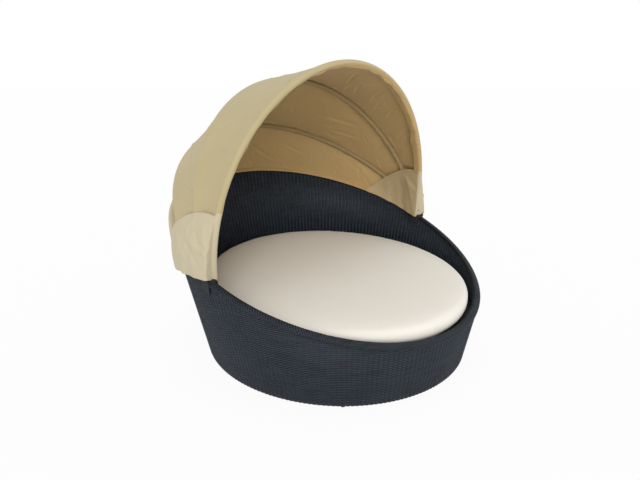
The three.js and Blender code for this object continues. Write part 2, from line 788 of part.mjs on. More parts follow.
// The place on a bow at an angle u from its crest, moved out from the tube and forward of its plane
function bowPoint(bow, u, out, forward) {
  const reach = Math.hypot(bow.height * Math.sin(u), bow.halfWidth * Math.cos(u));
  const x = bow.halfWidth * Math.sin(u) + (out * bow.height * Math.sin(u)) / reach;
  const r = bow.height * Math.cos(u) + (out * bow.halfWidth * Math.cos(u)) / reach;
  const sin = Math.sin(bow.angle);
  const cos = Math.cos(bow.angle);
  return new THREE.Vector3(x, pivotY - r * sin - forward * cos, pivotHeight + r * cos - forward * sin);
}

// A bent tube whose ends are pressed flat and punched for the pivot pin, drawn upright on the pivot axis
function bowTube(bow) {
  const roundPart = [[0.924, 0.383], [0.383, 0.924]];
  const flatPart = [[1, 0.72], [0.5, 1]];
  const straightEnd = Math.acos((bladeLength + bladeTaper) / bow.height);
  const halfBlade = bladeThickness / 2;
  const corners = (shares) => [
    [shares[0][0], shares[0][1]], [shares[1][0], shares[1][1]],
    [-shares[1][0], shares[1][1]], [-shares[0][0], shares[0][1]],
    [-shares[0][0], -shares[0][1]], [-shares[1][0], -shares[1][1]],
    [shares[1][0], -shares[1][1]], [shares[0][0], -shares[0][1]],
  ];
  const stations = [];
  const bladeStations = [
    [bladeLength, 1, 1], [bladeHalfWidth, 1, 1], [0, 1, 1],
    [-bladeHalfWidth / 2, 1, bladeRoundShare], [-bladeHalfWidth, 1, bladeTipShare],
  ];
  const sectionAt = (u, pressed, widthShare, reach) => {
    const norm = Math.hypot(bow.height * Math.sin(u), bow.halfWidth * Math.cos(u));
    const out = new THREE.Vector3(bow.height * Math.sin(u), 0, bow.halfWidth * Math.cos(u));
    out.divideScalar(norm);
    const centre = new THREE.Vector3(bow.halfWidth * Math.sin(u), 0, reach);
    const thin = THREE.MathUtils.lerp(bowRadius, halfBlade, pressed);
    const wide = THREE.MathUtils.lerp(bowRadius, bladeHalfWidth * widthShare, pressed);
    const shape = corners(pressed > 0.5 ? flatPart : roundPart);
    return shape.map(([a, b]) => new THREE.Vector3(
      centre.x + out.x * thin * a, wide * b, centre.z + out.z * thin * a));
  };
  for (const [reach, pressed, share] of bladeStations.slice().reverse()) {
    stations.push(sectionAt(-Math.PI / 2, pressed, share, reach));
  }
  const endSteps = [0, 1 / 3, 2 / 3].map((share) => THREE.MathUtils.lerp(straightEnd, bow.end, share));
  const between = Array.from({ length: clothSteps + 1 }, (_, i) => ((2 * i) / clothSteps - 1) * bow.end);
  for (const u of [...endSteps.map((end) => -end), ...between, ...endSteps.slice().reverse()]) {
    stations.push(sectionAt(u, 0, 1, bow.height * Math.cos(u)));
  }
  for (const [reach, pressed, share] of bladeStations) {
    stations.push(sectionAt(Math.PI / 2, pressed, share, reach));
  }
  const punches = [-1, 1].map((side) => bar(
    new THREE.Vector3(side * (bow.halfWidth - bowRadius), 0, 0),
    new THREE.Vector3(side * (bow.halfWidth + bowRadius), 0, 0), holeFor(pinRadius, holeSides), holeSides));
  return cut(loft(stations, false), punches);
}

for (const [word, bow] of Object.entries(bows)) {
  const hinge = new THREE.Group();
  hinge.position.copy(pivot);
  hinge.rotation.x = bow.angle;
  canopy.add(hinge);
  addPiece(hinge, `bow_${word}`, bowTube(bow), steel);
}

// Pins, spacers between the flattened ends, and nuts
for (const [word, side] of sides) {
  const pinOutline = [
    [0, nutOuter - nutHeight - pinTip],
    [pinRadius, nutOuter - nutHeight - pinTip],
    [pinRadius, earOuter + fitGap],
    [pinHeadRadius, earOuter + fitGap],
    [pinHeadRadius, earOuter + fitGap + pinHeadHeight * pinHeadEdgeShare],
    [pinHeadRadius * pinHeadTopShare, earOuter + fitGap + pinHeadHeight],
    [0, earOuter + fitGap + pinHeadHeight],
  ];
  const alongPivot = (geometry) => {
    geometry.rotateZ(-Math.PI / 2);
    geometry.translate(0, pivotY, pivotHeight);
    return mirrored(geometry, side);
  };
  const pin = new THREE.LatheGeometry(pinOutline.map(([r, x]) => new THREE.Vector2(r, x)), holeSides);
  addPiece(canopy, `pivot_pin_${word}`, alongPivot(pin), zinc);
  const stack = [bows.front.halfWidth, bows.second.halfWidth];
  for (const [i, x] of stack.entries()) {
    const from = x + bladeThickness / 2 + runningGap;
    const to = x + bowSpacing - bladeThickness / 2 - runningGap;
    const bore = holeFor(pinRadius, holeSides);
    const wall = [[bore, from], [spacerRadius, from], [spacerRadius, to], [bore, to], [bore, from]];
    const spacer = new THREE.LatheGeometry(wall.map(([r, y]) => new THREE.Vector2(r, y)), holeSides);
    addPiece(canopy, `pivot_spacer_${word}_${i + 1}`, alongPivot(spacer), plastic);
  }
  const hexagon = new THREE.Shape();
  for (let k = 0; k < 6; k += 1) {
    const corner = (k * Math.PI) / 3;
    const reach = nutAcross / 2 / Math.cos(Math.PI / 6);
    hexagon[k ? 'lineTo' : 'moveTo'](reach * Math.cos(corner), reach * Math.sin(corner));
  }
  const thread = new THREE.Path();
  thread.absarc(0, 0, holeFor(pinRadius, holeSides), 0, 2 * Math.PI, true);
  hexagon.holes.push(thread);
  const nut = plateFrom(hexagon, nutHeight, arcSteps);
  nut.rotateY(Math.PI / 2);
  nut.translate(nutOuter - nutHeight, pivotY, pivotHeight);
  addPiece(canopy, `pivot_nut_${word}`, mirrored(nut, side), zinc);
}

// One-footed clips that hold the rear bow down on the rim
const clipTurns = [0, clipTurn, -clipTurn];
for (const [i, u] of clipTurns.entries()) {
  const inside = clipOffset;
  const outside = clipOffset + clipWall;
  const floor = fitGap - rearBowRise + wrapCrownRise;
  const strap = new THREE.Shape();
  strap.moveTo(-outside, floor);
  strap.lineTo(-inside, floor);
  strap.lineTo(-inside, 0);
  strap.absarc(0, 0, inside, Math.PI, 0, true);
  strap.lineTo(inside, floor);
  strap.lineTo(inside + clipFoot, floor);
  strap.lineTo(inside + clipFoot, floor + clipWall);
  strap.lineTo(outside, floor + clipWall);
  strap.lineTo(outside, 0);
  strap.absarc(0, 0, outside, 0, Math.PI, false);
  const clip = plateFrom(strap, clipWidth, strapSteps);
  clip.translate(0, 0, -clipWidth / 2);
  const inward = rearOutward(u).negate();
  const along = new THREE.Vector3().crossVectors(inward, rimNormal);
  clip.applyMatrix4(new THREE.Matrix4().makeBasis(inward, rimNormal, along));
  const centre = rearCentre(u);
  clip.translate(centre.x, centre.y, centre.z);
  addPiece(tub, `rear_bow_clip_${i + 1}`, clip, zinc);
}

// Canopy cloth

const crestLeanShare = 2;

function rearCrest(u, out) {
  const lift = rearOutward(u).multiplyScalar(crestLeanShare).add(rimNormal).setLength(out);
  return rearCentre(u).add(lift);
}

const crest = (bow) => (u) => bowPoint(bow, u, crestOffset, 0);
const rearEdge = (u) => rearCrest(u, rearCrestOffset);

// A panel of cloth between two edges, slack by the sag in the middle
function gore(frontEdge, frontReach, backEdge, backReach) {
  const pointAt = (share, row) => {
    const front = frontEdge(share * frontReach);
    const back = backEdge(share * backReach);
    const margin = seamMargin / front.distanceTo(back);
    const v = margin + ((1 - 2 * margin) * row) / goreRows;
    const inward = pivot.clone().multiplyScalar(2).sub(front).sub(back).normalize();
    return front.lerp(back, v).addScaledVector(inward, 4 * clothSag * v * (1 - v));
  };
  const grid = Array.from({ length: goreRows + 1 }, (_, i) =>
    Array.from({ length: clothSteps + 1 }, (__, j) => pointAt((2 * j) / clothSteps - 1, i)));
  return sheet(grid, clothThickness);
}

const frontGore = gore(crest(bows.front), frontEnd, crest(bows.second), secondEnd);
const middleGore = gore(crest(bows.second), secondEnd, crest(bows.third), thirdEnd);
const rearGore = gore(crest(bows.third), thirdEnd, rearEdge, rearEnd);
addPiece(canopy, 'canopy_front_gore', frontGore, canvas);
addPiece(canopy, 'canopy_middle_gore', middleGore, canvas);
addPiece(canopy, 'canopy_rear_gore', rearGore, canvas);

// Cloth wrapped about a bow: a path of places out from and forward of the tube
function wrapped(bow, path) {
  const grid = path.map(([out, forward]) => Array.from({ length: clothSteps + 1 }, (_, j) =>
    bowPoint(bow, ((2 * j) / clothSteps - 1) * bow.end, out, forward)));
  return sheet(grid, clothThickness);
}

const arcPath = (from, to, count) => Array.from({ length: count + 1 }, (_, i) => {
  const step = (to - from) / count;
  const radius = sleeveOffset / Math.cos(step / 2);
  return [radius * Math.sin(from + step * i), radius * Math.cos(from + step * i)];
});

const hemStart = Math.PI / 2 - (seamMargin + fitGap) / sleeveOffset;
const hemArc = arcPath(hemStart, -Math.PI / 2, hemRows);
const hemPath = [...hemArc, [hemArc.at(-1)[0], -hemFlap]];
addPiece(canopy, 'canopy_front_hem', wrapped(bows.front, hemPath), canvas);
const sleevePath = arcPath(-sleeveOpening, sleeveOpening - Math.PI, sleeveRows);
addPiece(canopy, 'second_bow_sleeve', wrapped(bows.second, sleevePath), canvas);
addPiece(canopy, 'third_bow_sleeve', wrapped(bows.third, sleevePath), canvas);

// The corner patches: a fan of cloth from the ends of the gores down to the pivot

const rearTilt = -Math.PI / 2 + rimLean;
const lowerEnds = [
  { angle: frontBowAngle, at: (out) => bowPoint(bows.front, frontEnd, out, 0) },
  { angle: secondBowAngle, at: (out) => bowPoint(bows.second, secondEnd, out, 0) },
  { angle: thirdBowAngle, at: (out) => bowPoint(bows.third, thirdEnd, out, 0) },
  { angle: rearTilt, at: (out) => rearCrest(rearEnd, out + rearCrestOffset - crestOffset) },
];

// A point along the lower ends, by angle about the pivot axis
function lowerEdge(angle, out) {
  const passed = lowerEnds.findIndex((end) => end.angle <= angle);
  const next = Math.max(1, passed < 0 ? lowerEnds.length - 1 : passed);
  const [before, after] = [lowerEnds[next - 1], lowerEnds[next]];
  const share = (angle - before.angle) / (after.angle - before.angle);
  return before.at(out).lerp(after.at(out), share);
}

function patchPoint(angle, down) {
  const top = lowerEdge(angle, crestOffset);
  const apexX = outerFaceX + patchApexStand;
  const apex = new THREE.Vector3(apexX, pivotY, pivotHeight - patchApexDrop);
  apex.y -= patchApexRadius * Math.sin(angle);
  apex.z += patchApexRadius * Math.cos(angle);
  const start = (2 * seamMargin) / top.distanceTo(apex);
  const point = top.lerp(apex, start + (1 - start) * down);
  point.x += patchBulge * Math.sin(Math.PI * down);
  return point;
}

function liningPoint(angle, down) {
  const top = lowerEdge(angle, -sleeveOffset);
  const apex = new THREE.Vector3(nutOuter - nutHeight - pinTip - liningApexStand, pivotY, 0);
  apex.z = pivotHeight - liningApexDrop;
  apex.y -= patchApexRadius * Math.sin(angle);
  apex.z += patchApexRadius * Math.cos(angle);
  const start = (3 / 2 * seamMargin) / top.distanceTo(apex);
  const point = top.lerp(apex, start + (1 - start) * down);
  point.x += liningBulge * Math.sin(Math.PI * down);
  return point;
}

function fan(surface, side) {
  const grid = Array.from({ length: patchRows + 1 }, (_, i) =>
    Array.from({ length: patchSteps + 1 }, (__, j) => {
      const angle = THREE.MathUtils.lerp(frontBowAngle, rearTilt, j / patchSteps);
      return surface(angle, i / patchRows);
    }));
  return mirrored(sheet(grid, clothThickness), side);
}

for (const [word, side] of sides) {
  addPiece(canopy, `corner_patch_${word}`, fan(patchPoint, side), canvas);
  addPiece(canopy, `corner_lining_${word}`, fan(liningPoint, side), canvas);
}

// The skirt hangs from the rear bow and from the patches, outside the rim, and stands off at the sides

function skirtTop(u) {
  const size = Math.abs(u);
  const drop = new THREE.Vector3().addScaledVector(rimNormal, -2 * seamMargin);
  if (size <= rearEnd) {
    return rearCrest(u, rearCrestOffset).add(drop);
  }
  const point = patchPoint(rearTilt, (size - rearEnd) / (skirtEnd - rearEnd));
  point.x *= Math.sign(u);
  return point.add(drop);
}

function skirtHem(u) {
  const size = Math.abs(u);
  const toSide = THREE.MathUtils.smoothstep(size, skirtSideStart, skirtSideFull);
  const toEnd = THREE.MathUtils.smoothstep(size, skirtEndStart, skirtEnd);
  const drop = THREE.MathUtils.lerp(skirtBackDrop, skirtSideDrop, toSide) * (1 - toEnd);
  const stand = THREE.MathUtils.lerp(skirtBackStand, skirtSideStand, toSide);
  const wave = skirtWave * toSide * (1 - toEnd) * Math.sin(skirtWaves * size);
  const offset = -THREE.MathUtils.lerp(stand, skirtEndStand, toEnd) - wave;
  return onWall(Math.PI - u, offset, rimPlane(drop));
}

const skirtGrid = Array.from({ length: skirtRows + 1 }, (_, i) =>
  Array.from({ length: skirtColumns + 1 }, (__, j) => {
    const u = ((2 * j) / skirtColumns - 1) * skirtEnd;
    const down = i / skirtRows;
    const point = skirtTop(u).lerp(skirtHem(u), down);
    return point.addScaledVector(rearOutward(u), skirtWave * Math.sin(Math.PI * down));
  }));
addPiece(canopy, 'canopy_skirt', sheet(skirtGrid, clothThickness), canvas);

// The origin is on the floor, below the middle of the whole
const extent = new THREE.Box3().setFromObject(daybed);
daybed.position.y = -(extent.min.y + extent.max.y) / 2;

export default daybed;
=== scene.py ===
"""Looks of the round woven daybed with its folding canopy.

Shapes are worked out in millimetres with +Z up and the low open front towards -Y, as the solids
are, and are moved into the frame, in metres, where a mesh is made.
"""

import math
from collections import namedtuple

import bmesh
import bpy
import numpy as np
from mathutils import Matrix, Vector


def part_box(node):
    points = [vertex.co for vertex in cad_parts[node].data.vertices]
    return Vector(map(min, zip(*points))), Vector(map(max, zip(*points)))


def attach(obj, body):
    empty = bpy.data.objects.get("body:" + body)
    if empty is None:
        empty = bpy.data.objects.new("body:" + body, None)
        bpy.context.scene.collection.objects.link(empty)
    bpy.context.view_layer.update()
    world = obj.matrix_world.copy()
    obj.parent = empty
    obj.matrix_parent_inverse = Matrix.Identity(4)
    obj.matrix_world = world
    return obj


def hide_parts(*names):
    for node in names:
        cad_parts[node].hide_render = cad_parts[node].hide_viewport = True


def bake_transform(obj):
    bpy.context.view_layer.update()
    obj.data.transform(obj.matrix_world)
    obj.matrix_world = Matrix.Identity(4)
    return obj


bl_info = {
    "name": "Woven Daybed with Canopy",
    "version": (1, 0, 0),
    "blender": (4, 5, 0),
    "location": "3D View > Sidebar > Daybed",
    "description": "Weaves, pads and dresses a round outdoor daybed around its frame",
    "category": "Object",
}

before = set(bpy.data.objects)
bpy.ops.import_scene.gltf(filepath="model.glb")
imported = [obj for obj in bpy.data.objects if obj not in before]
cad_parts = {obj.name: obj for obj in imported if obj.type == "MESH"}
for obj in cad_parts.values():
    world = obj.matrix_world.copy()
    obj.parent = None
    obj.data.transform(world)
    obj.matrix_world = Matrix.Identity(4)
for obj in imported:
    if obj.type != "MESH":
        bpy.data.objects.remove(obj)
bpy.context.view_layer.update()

MM = 0.001

# Tub outline, as in the solids: an ellipse that leans outwards, cut by a rising rim plane
HALF_WIDTH = 760
HALF_DEPTH = 806
SIDE_FLARE = 0.154
END_FLARE = 0.128
RIM_HEIGHT = 589
RIM_SLOPE = 0.3265
SEAT_HEIGHT = 319.7
SEAT_SLOPE = 0.0474
WALL_THICKNESS = 39.2
WEAVE_THICKNESS = 3.5
OUTER_WEAVE = 3.3
INNER_WEAVE = 32.4
LIP_HEIGHT = 9.5

# Attribute of the strands that says how far they stand out, from 0 to 1; their material
# paints the low parts in shade
CROWN_SHADING = "Crown"

# Strand wound round the rim, and the slanting strands over it
WRAP_OUTER_LEG = 16
WRAP_INNER_LEG = 9
RIM_LENGTH = 5500
PLAIT_PITCH = 13
PLAIT_SLANT = 26
# Painted light on each plait strand's raised middle; its edges and underside take painted shade
PLAIT_LIT_SHARE = 0.75

# Cushion: the grid and the pressure it is blown up with, and the most that a point may move
PAD_VOXEL = 14 * MM
PAD_PRESSURE = 2.5
PAD_TRAVEL = 9 * MM

# Canopy bows, and how far from the middle of their tubes the cloth lies
PIVOT_Y = 4
PIVOT_Z = 626
CREST = 14.25
SLEEVE = 12.6
HEM_RADIUS = 13.6
FLAP_RADIUS = 12.3
CORNER_RADIUS = 15.6
CORNER_END = -37
NEXT_LAYER = 1.8
REAR_CREST = 14.23
REAR_BOW_OFFSET = 14
REAR_BOW_RISE = 12.8
REAR_TOUCH = 15
HEM_FLAP = 34
SAG = 7
REAR_REACH = math.radians(65.5)

# Skirt: the angle it reaches to, its seam above the rear bow and its radius round it, how far it
# stands off the rim at the back and the sides, and its drop below the rim at the back, at the
# sides and at the ends, which lie under the corner patches
SKIRT_REACH = math.radians(80)
SKIRT_SEAM = 14
SKIRT_RADIUS = 13.4
SKIRT_STAND = (6, 14)
SKIRT_DROP = (26, 92, 30)

Bow = namedtuple("Bow", "half_width height angle reach")
FRONT_BOW = Bow(802.9, 855, math.radians(7.5), math.radians(70.5))
SECOND_BOW = Bow(826.9, 853, math.radians(-23.7), math.radians(69.5))
THIRD_BOW = Bow(850.9, 915, math.radians(-54.3), math.radians(68))
RIM_LEAN = math.atan(RIM_SLOPE)
RIM_NORMAL = np.array([0, -math.sin(RIM_LEAN), math.cos(RIM_LEAN)])

# Corner pieces, drawn as on the right: hems run from the front bow to the rear bow, and are
# given for each side because the photo shows them differ
GORE_TUCK = math.radians(4.5)
FRONT_TUCK = math.radians(2.6)
PATCH_TUCK = math.radians(2.2)
LINING_TUCK = math.radians(1)
PATCH_HEM = {
    "left": [(872, -40, 612), (878, 60, 604), (868, 178, 594), (843, 298, 580)],
    "right": [(868, -24, 600), (878, 66, 590), (868, 182, 588), (843, 298, 580)],
}
PATCH_BULGE = {"left": (14, 22, 20, 8), "right": (6, 22, 20, 10)}
LINING_FRONT = {"left": (790, 40, 596), "right": (777, -14, 592)}
LINING_HEM = [(95, 60, 2), (103, 46, 3), (117, 43, 3)]
LINING_END = 117
LINING_BULGE = (6, 8, 8, 0)
WRAP_REACH = {"left": 17, "right": 14}

Fold = namedtuple("Fold", "line width depth")
PATCH_FOLDS = [
    Fold([(99, 854), (135, 807), (107, 771), (33, 736), (-36, 724)], 13, 5),
    Fold([(60, 800), (40, 764), (-11, 745), (-40, 748)], 10, -5),
    Fold([(18, 829), (4, 792), (-19, 729)], 13, 4),
    Fold([(112, 740), (66, 708), (37, 677), (0, 660)], 12, -5),
    Fold([(190, 753), (182, 726), (212, 670)], 14, 4),
    Fold([(151, 697), (123, 679), (168, 600)], 12, 5),
    Fold([(230, 690), (260, 610)], 14, -4),
    Fold([(-60, 690), (-38, 640)], 10, 3),
    Fold([(4, 660), (4, 612)], 22, 5),
]
LINING_FOLDS = [
    Fold([(81, 836), (22, 772), (-17, 751)], 19, -3.5),
    Fold([(70, 858), (20, 806), (-14, 790)], 16, 2),
    Fold([(56, 794), (33, 718), (10, 654)], 22, -5),
    Fold([(140, 803), (118, 739), (130, 670)], 26, 4),
    Fold([(252, 789), (238, 722), (230, 680)], 26, -4),
    Fold([(20, 690), (-8, 640)], 14, 3),
]

# Camera, fitted to the outlines in the photo: its place is in metres from the base's middle
CAMERA_PLACE = (-1.87065, -1.78431, 1.38874)
CAMERA_LENS = 26
CAMERA_SHIFT = (-0.0227, 0.1435)

# The middle of the tub's base in the frame
base_low, base_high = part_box("base_ring")
BASE_Y = (base_low.y + base_high.y) / 2


def srgb(code):
    """Linear colour of an sRGB hex code."""
    channels = [int(code[i : i + 2], 16) / 255 for i in (1, 3, 5)]
    return [c / 12.92 if c <= 0.04045 else ((c + 0.055) / 1.055) ** 2.4 for c in channels]


def colour_property(name, description, code):
    return bpy.props.FloatVectorProperty(
        name=name, description=description, default=srgb(code), subtype="COLOR", min=0, max=1
    )


def length_property(name, description, millimetres):
    return bpy.props.FloatProperty(
        name=name,
        description=description,
        default=millimetres * MM,
        subtype="DISTANCE",
        unit="LENGTH",
    )


def level_property(name, description, value):
    return bpy.props.FloatProperty(name=name, description=description, default=value, min=0)


class TubSettings(bpy.types.PropertyGroup):
    """Strands and colours of the woven tub."""

    stakes: bpy.props.IntProperty(
        name="Stakes", description="Uprights round the tub, an even number", default=208, min=16
    )
    strand_pitch: length_property("Strand pitch", "Height of one row of weaving", 5.3)
    strand_width: length_property("Strand width", "Width of the flat strand", 6.2)
    strand_thickness: length_property("Strand thickness", "Thickness of the flat strand", 1.3)
    weave_depth: length_property("Weave depth", "How far a strand goes in and out", 1.8)
    stake_width: length_property("Stake width", "Width of the strand over an upright", 15)
    inner_strand_width: length_property("Strand width inside", "Height of a strand inside", 9.6)
    inner_stake_width: length_property("Stake width inside", "Width over an upright inside", 11)
    wrap_pitch: length_property("Wrap pitch", "Width of one turn of the rim wrap", 8)
    strand_colour: colour_property("Strand colour", "Colour of the raised strands", "#38414c")
    # The strand shade is painted shade, for the gaps and recesses of the weave
    strand_shade: colour_property("Strand shade", "Colour between the strands", "#07090c")


class CushionSettings(bpy.types.PropertyGroup):
    """Size and colour of the seat cushion."""

    half_width: length_property("Half width", "Half the cut cushion's width", 737)
    half_depth: length_property("Half depth", "Half the cut cushion's depth", 785)
    shift: length_property("Shift", "How far the cushion lies forward of the middle", 12)
    thickness: length_property("Thickness", "Height at the edge", 104)
    edge_radius: length_property("Edge radius", "Rounding of the upper and lower edge", 44)
    crown: length_property("Crown", "How far the middle stands above the edge", 10)
    cover_colour: colour_property("Cover colour", "Colour of the cushion cover", "#f0ebe0")


class CanopySettings(bpy.types.PropertyGroup):
    """Cloth of the canopy."""

    cloth_thickness: length_property("Cloth thickness", "Thickness of the canvas", 1.2)
    outside_colour: colour_property("Outside colour", "Colour of the canvas outside", "#bdae84")
    patch_colour: colour_property("Patch colour", "Colour of the corner patches", "#c9bd9f")
    # The inside colour is the outside's made warmer and more orange, as painted bounce light
    inside_colour: colour_property("Inside colour", "Colour of the canvas inside", "#c0a26e")
    sleeve_colour: colour_property("Sleeve colour", "Colour of the bow sleeves", "#a08a60")
    lining_colour: colour_property("Lining colour", "Colour of the corner linings", "#bfab82")


class StageSettings(bpy.types.PropertyGroup):
    """Floor, light and camera."""

    floor_colour: colour_property("Floor colour", "Colour of the floor", "#f6f6f4")
    light_level: level_property("Light level", "Brightness of the surrounding light", 0.66)
    front_level: level_property("Front level", "Strength of the front softbox", 1.28)
    top_level: level_property("Top level", "Strength of the top softbox", 0.35)
    floor_white: level_property("Floor white", "Share of plain white in the floor", 0.92)


def settings_of(context, part):
    return getattr(context.scene, "daybed_" + part)


# Places on the tub and the canopy, in millimetres about the middle of the tub's base


def wall_point(turn, offset, z):
    """A point of the tub's wall. A turn of 0 is the front and a quarter turn is the right side."""
    x = np.sin(turn) * (HALF_WIDTH - offset + SIDE_FLARE * z)
    y = -np.cos(turn) * (HALF_DEPTH - offset + END_FLARE * z)
    return np.stack(np.broadcast_arrays(x, y, z), axis=-1)


def on_wall(turn, offset, height, slope):
    """The point of the wall where it meets a plane that rises to the back."""
    rise = -slope * np.cos(turn)
    z = (height + rise * (HALF_DEPTH - offset)) / (1 - rise * END_FLARE)
    return wall_point(turn, offset, z)


def on_rim(turn, offset, drop):
    return on_wall(turn, offset, RIM_HEIGHT - drop, RIM_SLOPE)


def bow_point(bow, u, out, forward=0):
    """A point at an angle u from the crest of a bow, out from the tube and forward of its plane."""
    reach = np.hypot(bow.height * np.sin(u), bow.half_width * np.cos(u))
    x = bow.half_width * np.sin(u) + out * bow.height * np.sin(u) / reach
    r = bow.height * np.cos(u) + out * bow.half_width * np.cos(u) / reach
    y = PIVOT_Y - r * math.sin(bow.angle) - forward * math.cos(bow.angle)
    z = PIVOT_Z + r * math.cos(bow.angle) - forward * math.sin(bow.angle)
    return np.stack(np.broadcast_arrays(x, y, z), axis=-1)


def unit(vectors):
    return vectors / np.linalg.norm(vectors, axis=-1, keepdims=True)


def rear_centre(u):
    return on_wall(
        math.pi - u, REAR_BOW_OFFSET, RIM_HEIGHT + REAR_BOW_RISE / math.cos(RIM_LEAN), RIM_SLOPE
    )


def rear_outward(u):
    step = math.pi / 48
    along = unit(rear_centre(u + step) - rear_centre(u - step))
    return unit(np.cross(RIM_NORMAL, along))


def rear_crest(u, out):
    return rear_centre(u) + out * unit(2 * rear_outward(u) + RIM_NORMAL)


def mix(a, b, share):
    return a + (b - a) * share


def smooth_step(x, low, high):
    t = np.clip((x - low) / (high - low), 0, 1)
    return t * t * (3 - 2 * t)


def through_four(stations, a):
    """The smooth curve that passes through four stations, numbered 0 to 3."""
    a = np.asarray(a, float)[..., None]
    first, second, third, fourth = stations
    return (
        -(a - 1) * (a - 2) * (a - 3) / 6 * first
        + a * (a - 2) * (a - 3) / 2 * second
        - a * (a - 1) * (a - 3) / 2 * third
        + a * (a - 1) * (a - 2) / 6 * fourth
    )


def bow_ends(extra, out):
    """Points on the right of the three moving bows, a little below the ends of the gores."""
    return [bow_point(bow, bow.reach + extra, out) for bow in (FRONT_BOW, SECOND_BOW, THIRD_BOW)]


def side_point(tops, hems, bulges, a, down):
    """A point of a corner piece: a is 0 at the front bow and 3 at the rear bow."""
    point = mix(through_four(tops, a), through_four(hems, a), np.asarray(down)[..., None])
    bulge = np.interp(a, range(4), bulges)
    point[..., 0] += bulge * np.sin(math.pi * np.clip(down, 0, 1))
    return point


def patch_point(side, a, down, lift=0):
    tops = bow_ends(PATCH_TUCK, CREST + NEXT_LAYER + lift)
    tops.append(rear_crest(REAR_REACH + PATCH_TUCK, REAR_CREST + NEXT_LAYER + lift))
    hems = [np.array(hem) + [lift, 0, 0] for hem in PATCH_HEM[side]]
    return side_point(tops, hems, PATCH_BULGE[side], a, down)


def lining_point(side, a, down):
    tops = bow_ends(LINING_TUCK, -SLEEVE - NEXT_LAYER)
    tops.append(on_rim(math.radians(LINING_END), 40, -12))
    hems = [np.array(LINING_FRONT[side])]
    for turn, offset, drop in LINING_HEM:
        hems.append(on_rim(math.radians(turn), offset, drop))
    return side_point(tops, hems, LINING_BULGE, a, down)


def in_side_view(points, folds):
    """How far folds stand out, each drawn as a line of (y, z) as seen from the side."""
    total = np.zeros(points.shape[:2])
    for fold in folds:
        line = np.array(fold.line, float)
        nearest = np.full(total.shape, np.inf)
        for start, end in zip(line, line[1:]):
            run = end - start
            along = np.clip(((points[..., 1:] - start) @ run) / (run @ run), 0, 1)
            gap = points[..., 1:] - start - along[..., None] * run
            nearest = np.minimum(nearest, np.linalg.norm(gap, axis=-1))
        total += fold.depth * np.exp(-((nearest / fold.width) ** 2))
    return total


def rear_tangent(u, above):
    """Where cloth that comes down from the third bow touches the rear bow on its inside."""
    centre = rear_centre(u)
    run = unit(centre - above)
    inward = -rear_outward(u)
    inward = unit(inward - run * (run * inward).sum(axis=-1, keepdims=True))
    return centre + REAR_TOUCH * inward, run, inward


def skirt_rows(u, above):
    """Rows of the skirt, from its seam over the rear bow down to its hem."""
    size = np.abs(u)
    touch, run, inward = rear_tangent(u, above)
    rows = [touch - SKIRT_SEAM * run - 1.6 * inward]
    for lean in np.radians([125, 100, 75, 50, 25, 0]):
        way = math.cos(lean) * rear_outward(u) + math.sin(lean) * RIM_NORMAL
        rows.append(rear_centre(u) + SKIRT_RADIUS * way)
    to_side = smooth_step(size, math.radians(50), math.radians(72))
    scallop = np.sin(46 * u) * np.sin(7.3 * u + 1)
    stand = mix(*SKIRT_STAND, to_side) + 1.6 * (1 + scallop)
    under = np.clip((size - REAR_REACH) / (SKIRT_REACH - REAR_REACH), 0, 1)
    back_drop, side_drop, end_drop = SKIRT_DROP
    drop = mix(mix(back_drop, side_drop, to_side), end_drop, under)
    hem = on_rim(math.pi - u, -stand, drop + 2 * scallop)
    for down in np.linspace(0, 1, 13)[1:]:
        sway = 1.5 * math.sin(math.pi * down)
        rows.append(mix(rows[6], hem, down) + sway * rear_outward(u))
    join = smooth_step(size, REAR_REACH - math.radians(2), REAR_REACH + math.radians(5))
    on_patch = patch_point("left", np.full_like(size, 2.9), 0.9 * under, -4)
    on_patch[..., 0] *= np.sign(u)
    drape = np.concatenate([np.zeros(7), np.linspace(0, 1, 13)[1:]])
    return [
        mix(row, mix(on_patch, hem, down), join[:, None]) for row, down in zip(rows, drape)
    ]


# Making meshes


def to_frame(points):
    """Moves millimetres about the middle of the base into the frame, in metres."""
    placed = np.asarray(points, float) * MM
    placed[..., 1] += BASE_Y
    return placed


def new_piece(name, mesh):
    piece = bpy.data.objects.new(name, mesh)
    bpy.context.scene.collection.objects.link(piece)
    return piece


def read_points(mesh):
    points = np.empty(len(mesh.vertices) * 3, np.float32)
    mesh.vertices.foreach_get("co", points)
    return points.reshape(-1, 3)


def write_points(mesh, points):
    mesh.vertices.foreach_set("co", np.asarray(points, np.float32).ravel())
    mesh.update()


def mesh_from(shape, name):
    mesh = bpy.data.meshes.new(name)
    shape.to_mesh(mesh)
    shape.free()
    return mesh


def grid_piece(name, points, split_every=0, merge=False, crown=None):
    """A grid of faces drawn over rows of points, cut between every few rows where asked.

    Cloth gets its real lengths as a UV map, and strands get the share to which they stand out,
    which their material turns into painted shade.
    """
    rows, columns = points.shape[:2]
    shape = bmesh.new()
    shape.loops.layers.uv.new("Length")
    bmesh.ops.create_grid(
        shape, x_segments=columns - 1, y_segments=rows - 1, size=0.5, calc_uvs=True
    )
    if split_every:
        gaps = []
        for face in shape.faces:
            low = min(v.co.y for v in face.verts)
            if (round((low + 0.5) * (rows - 1)) + 1) % split_every == 0:
                gaps.append(face)
        bmesh.ops.delete(shape, geom=gaps, context="FACES")
    mesh = mesh_from(shape, name)
    flat = read_points(mesh)
    column = np.rint((flat[:, 0] + 0.5) * (columns - 1)).astype(int)
    row = np.rint((flat[:, 1] + 0.5) * (rows - 1)).astype(int)
    write_points(mesh, to_frame(points)[row, column])
    if crown is None:
        measure_cloth(mesh, points, row, column)
    else:
        shares = mesh.attributes.new(CROWN_SHADING, "FLOAT", "POINT")
        shares.data.foreach_set("value", crown[row, column].astype(np.float32))
    if merge:
        edit_mesh(mesh, merge_doubles)
    mesh.shade_smooth()
    return new_piece(name, mesh)


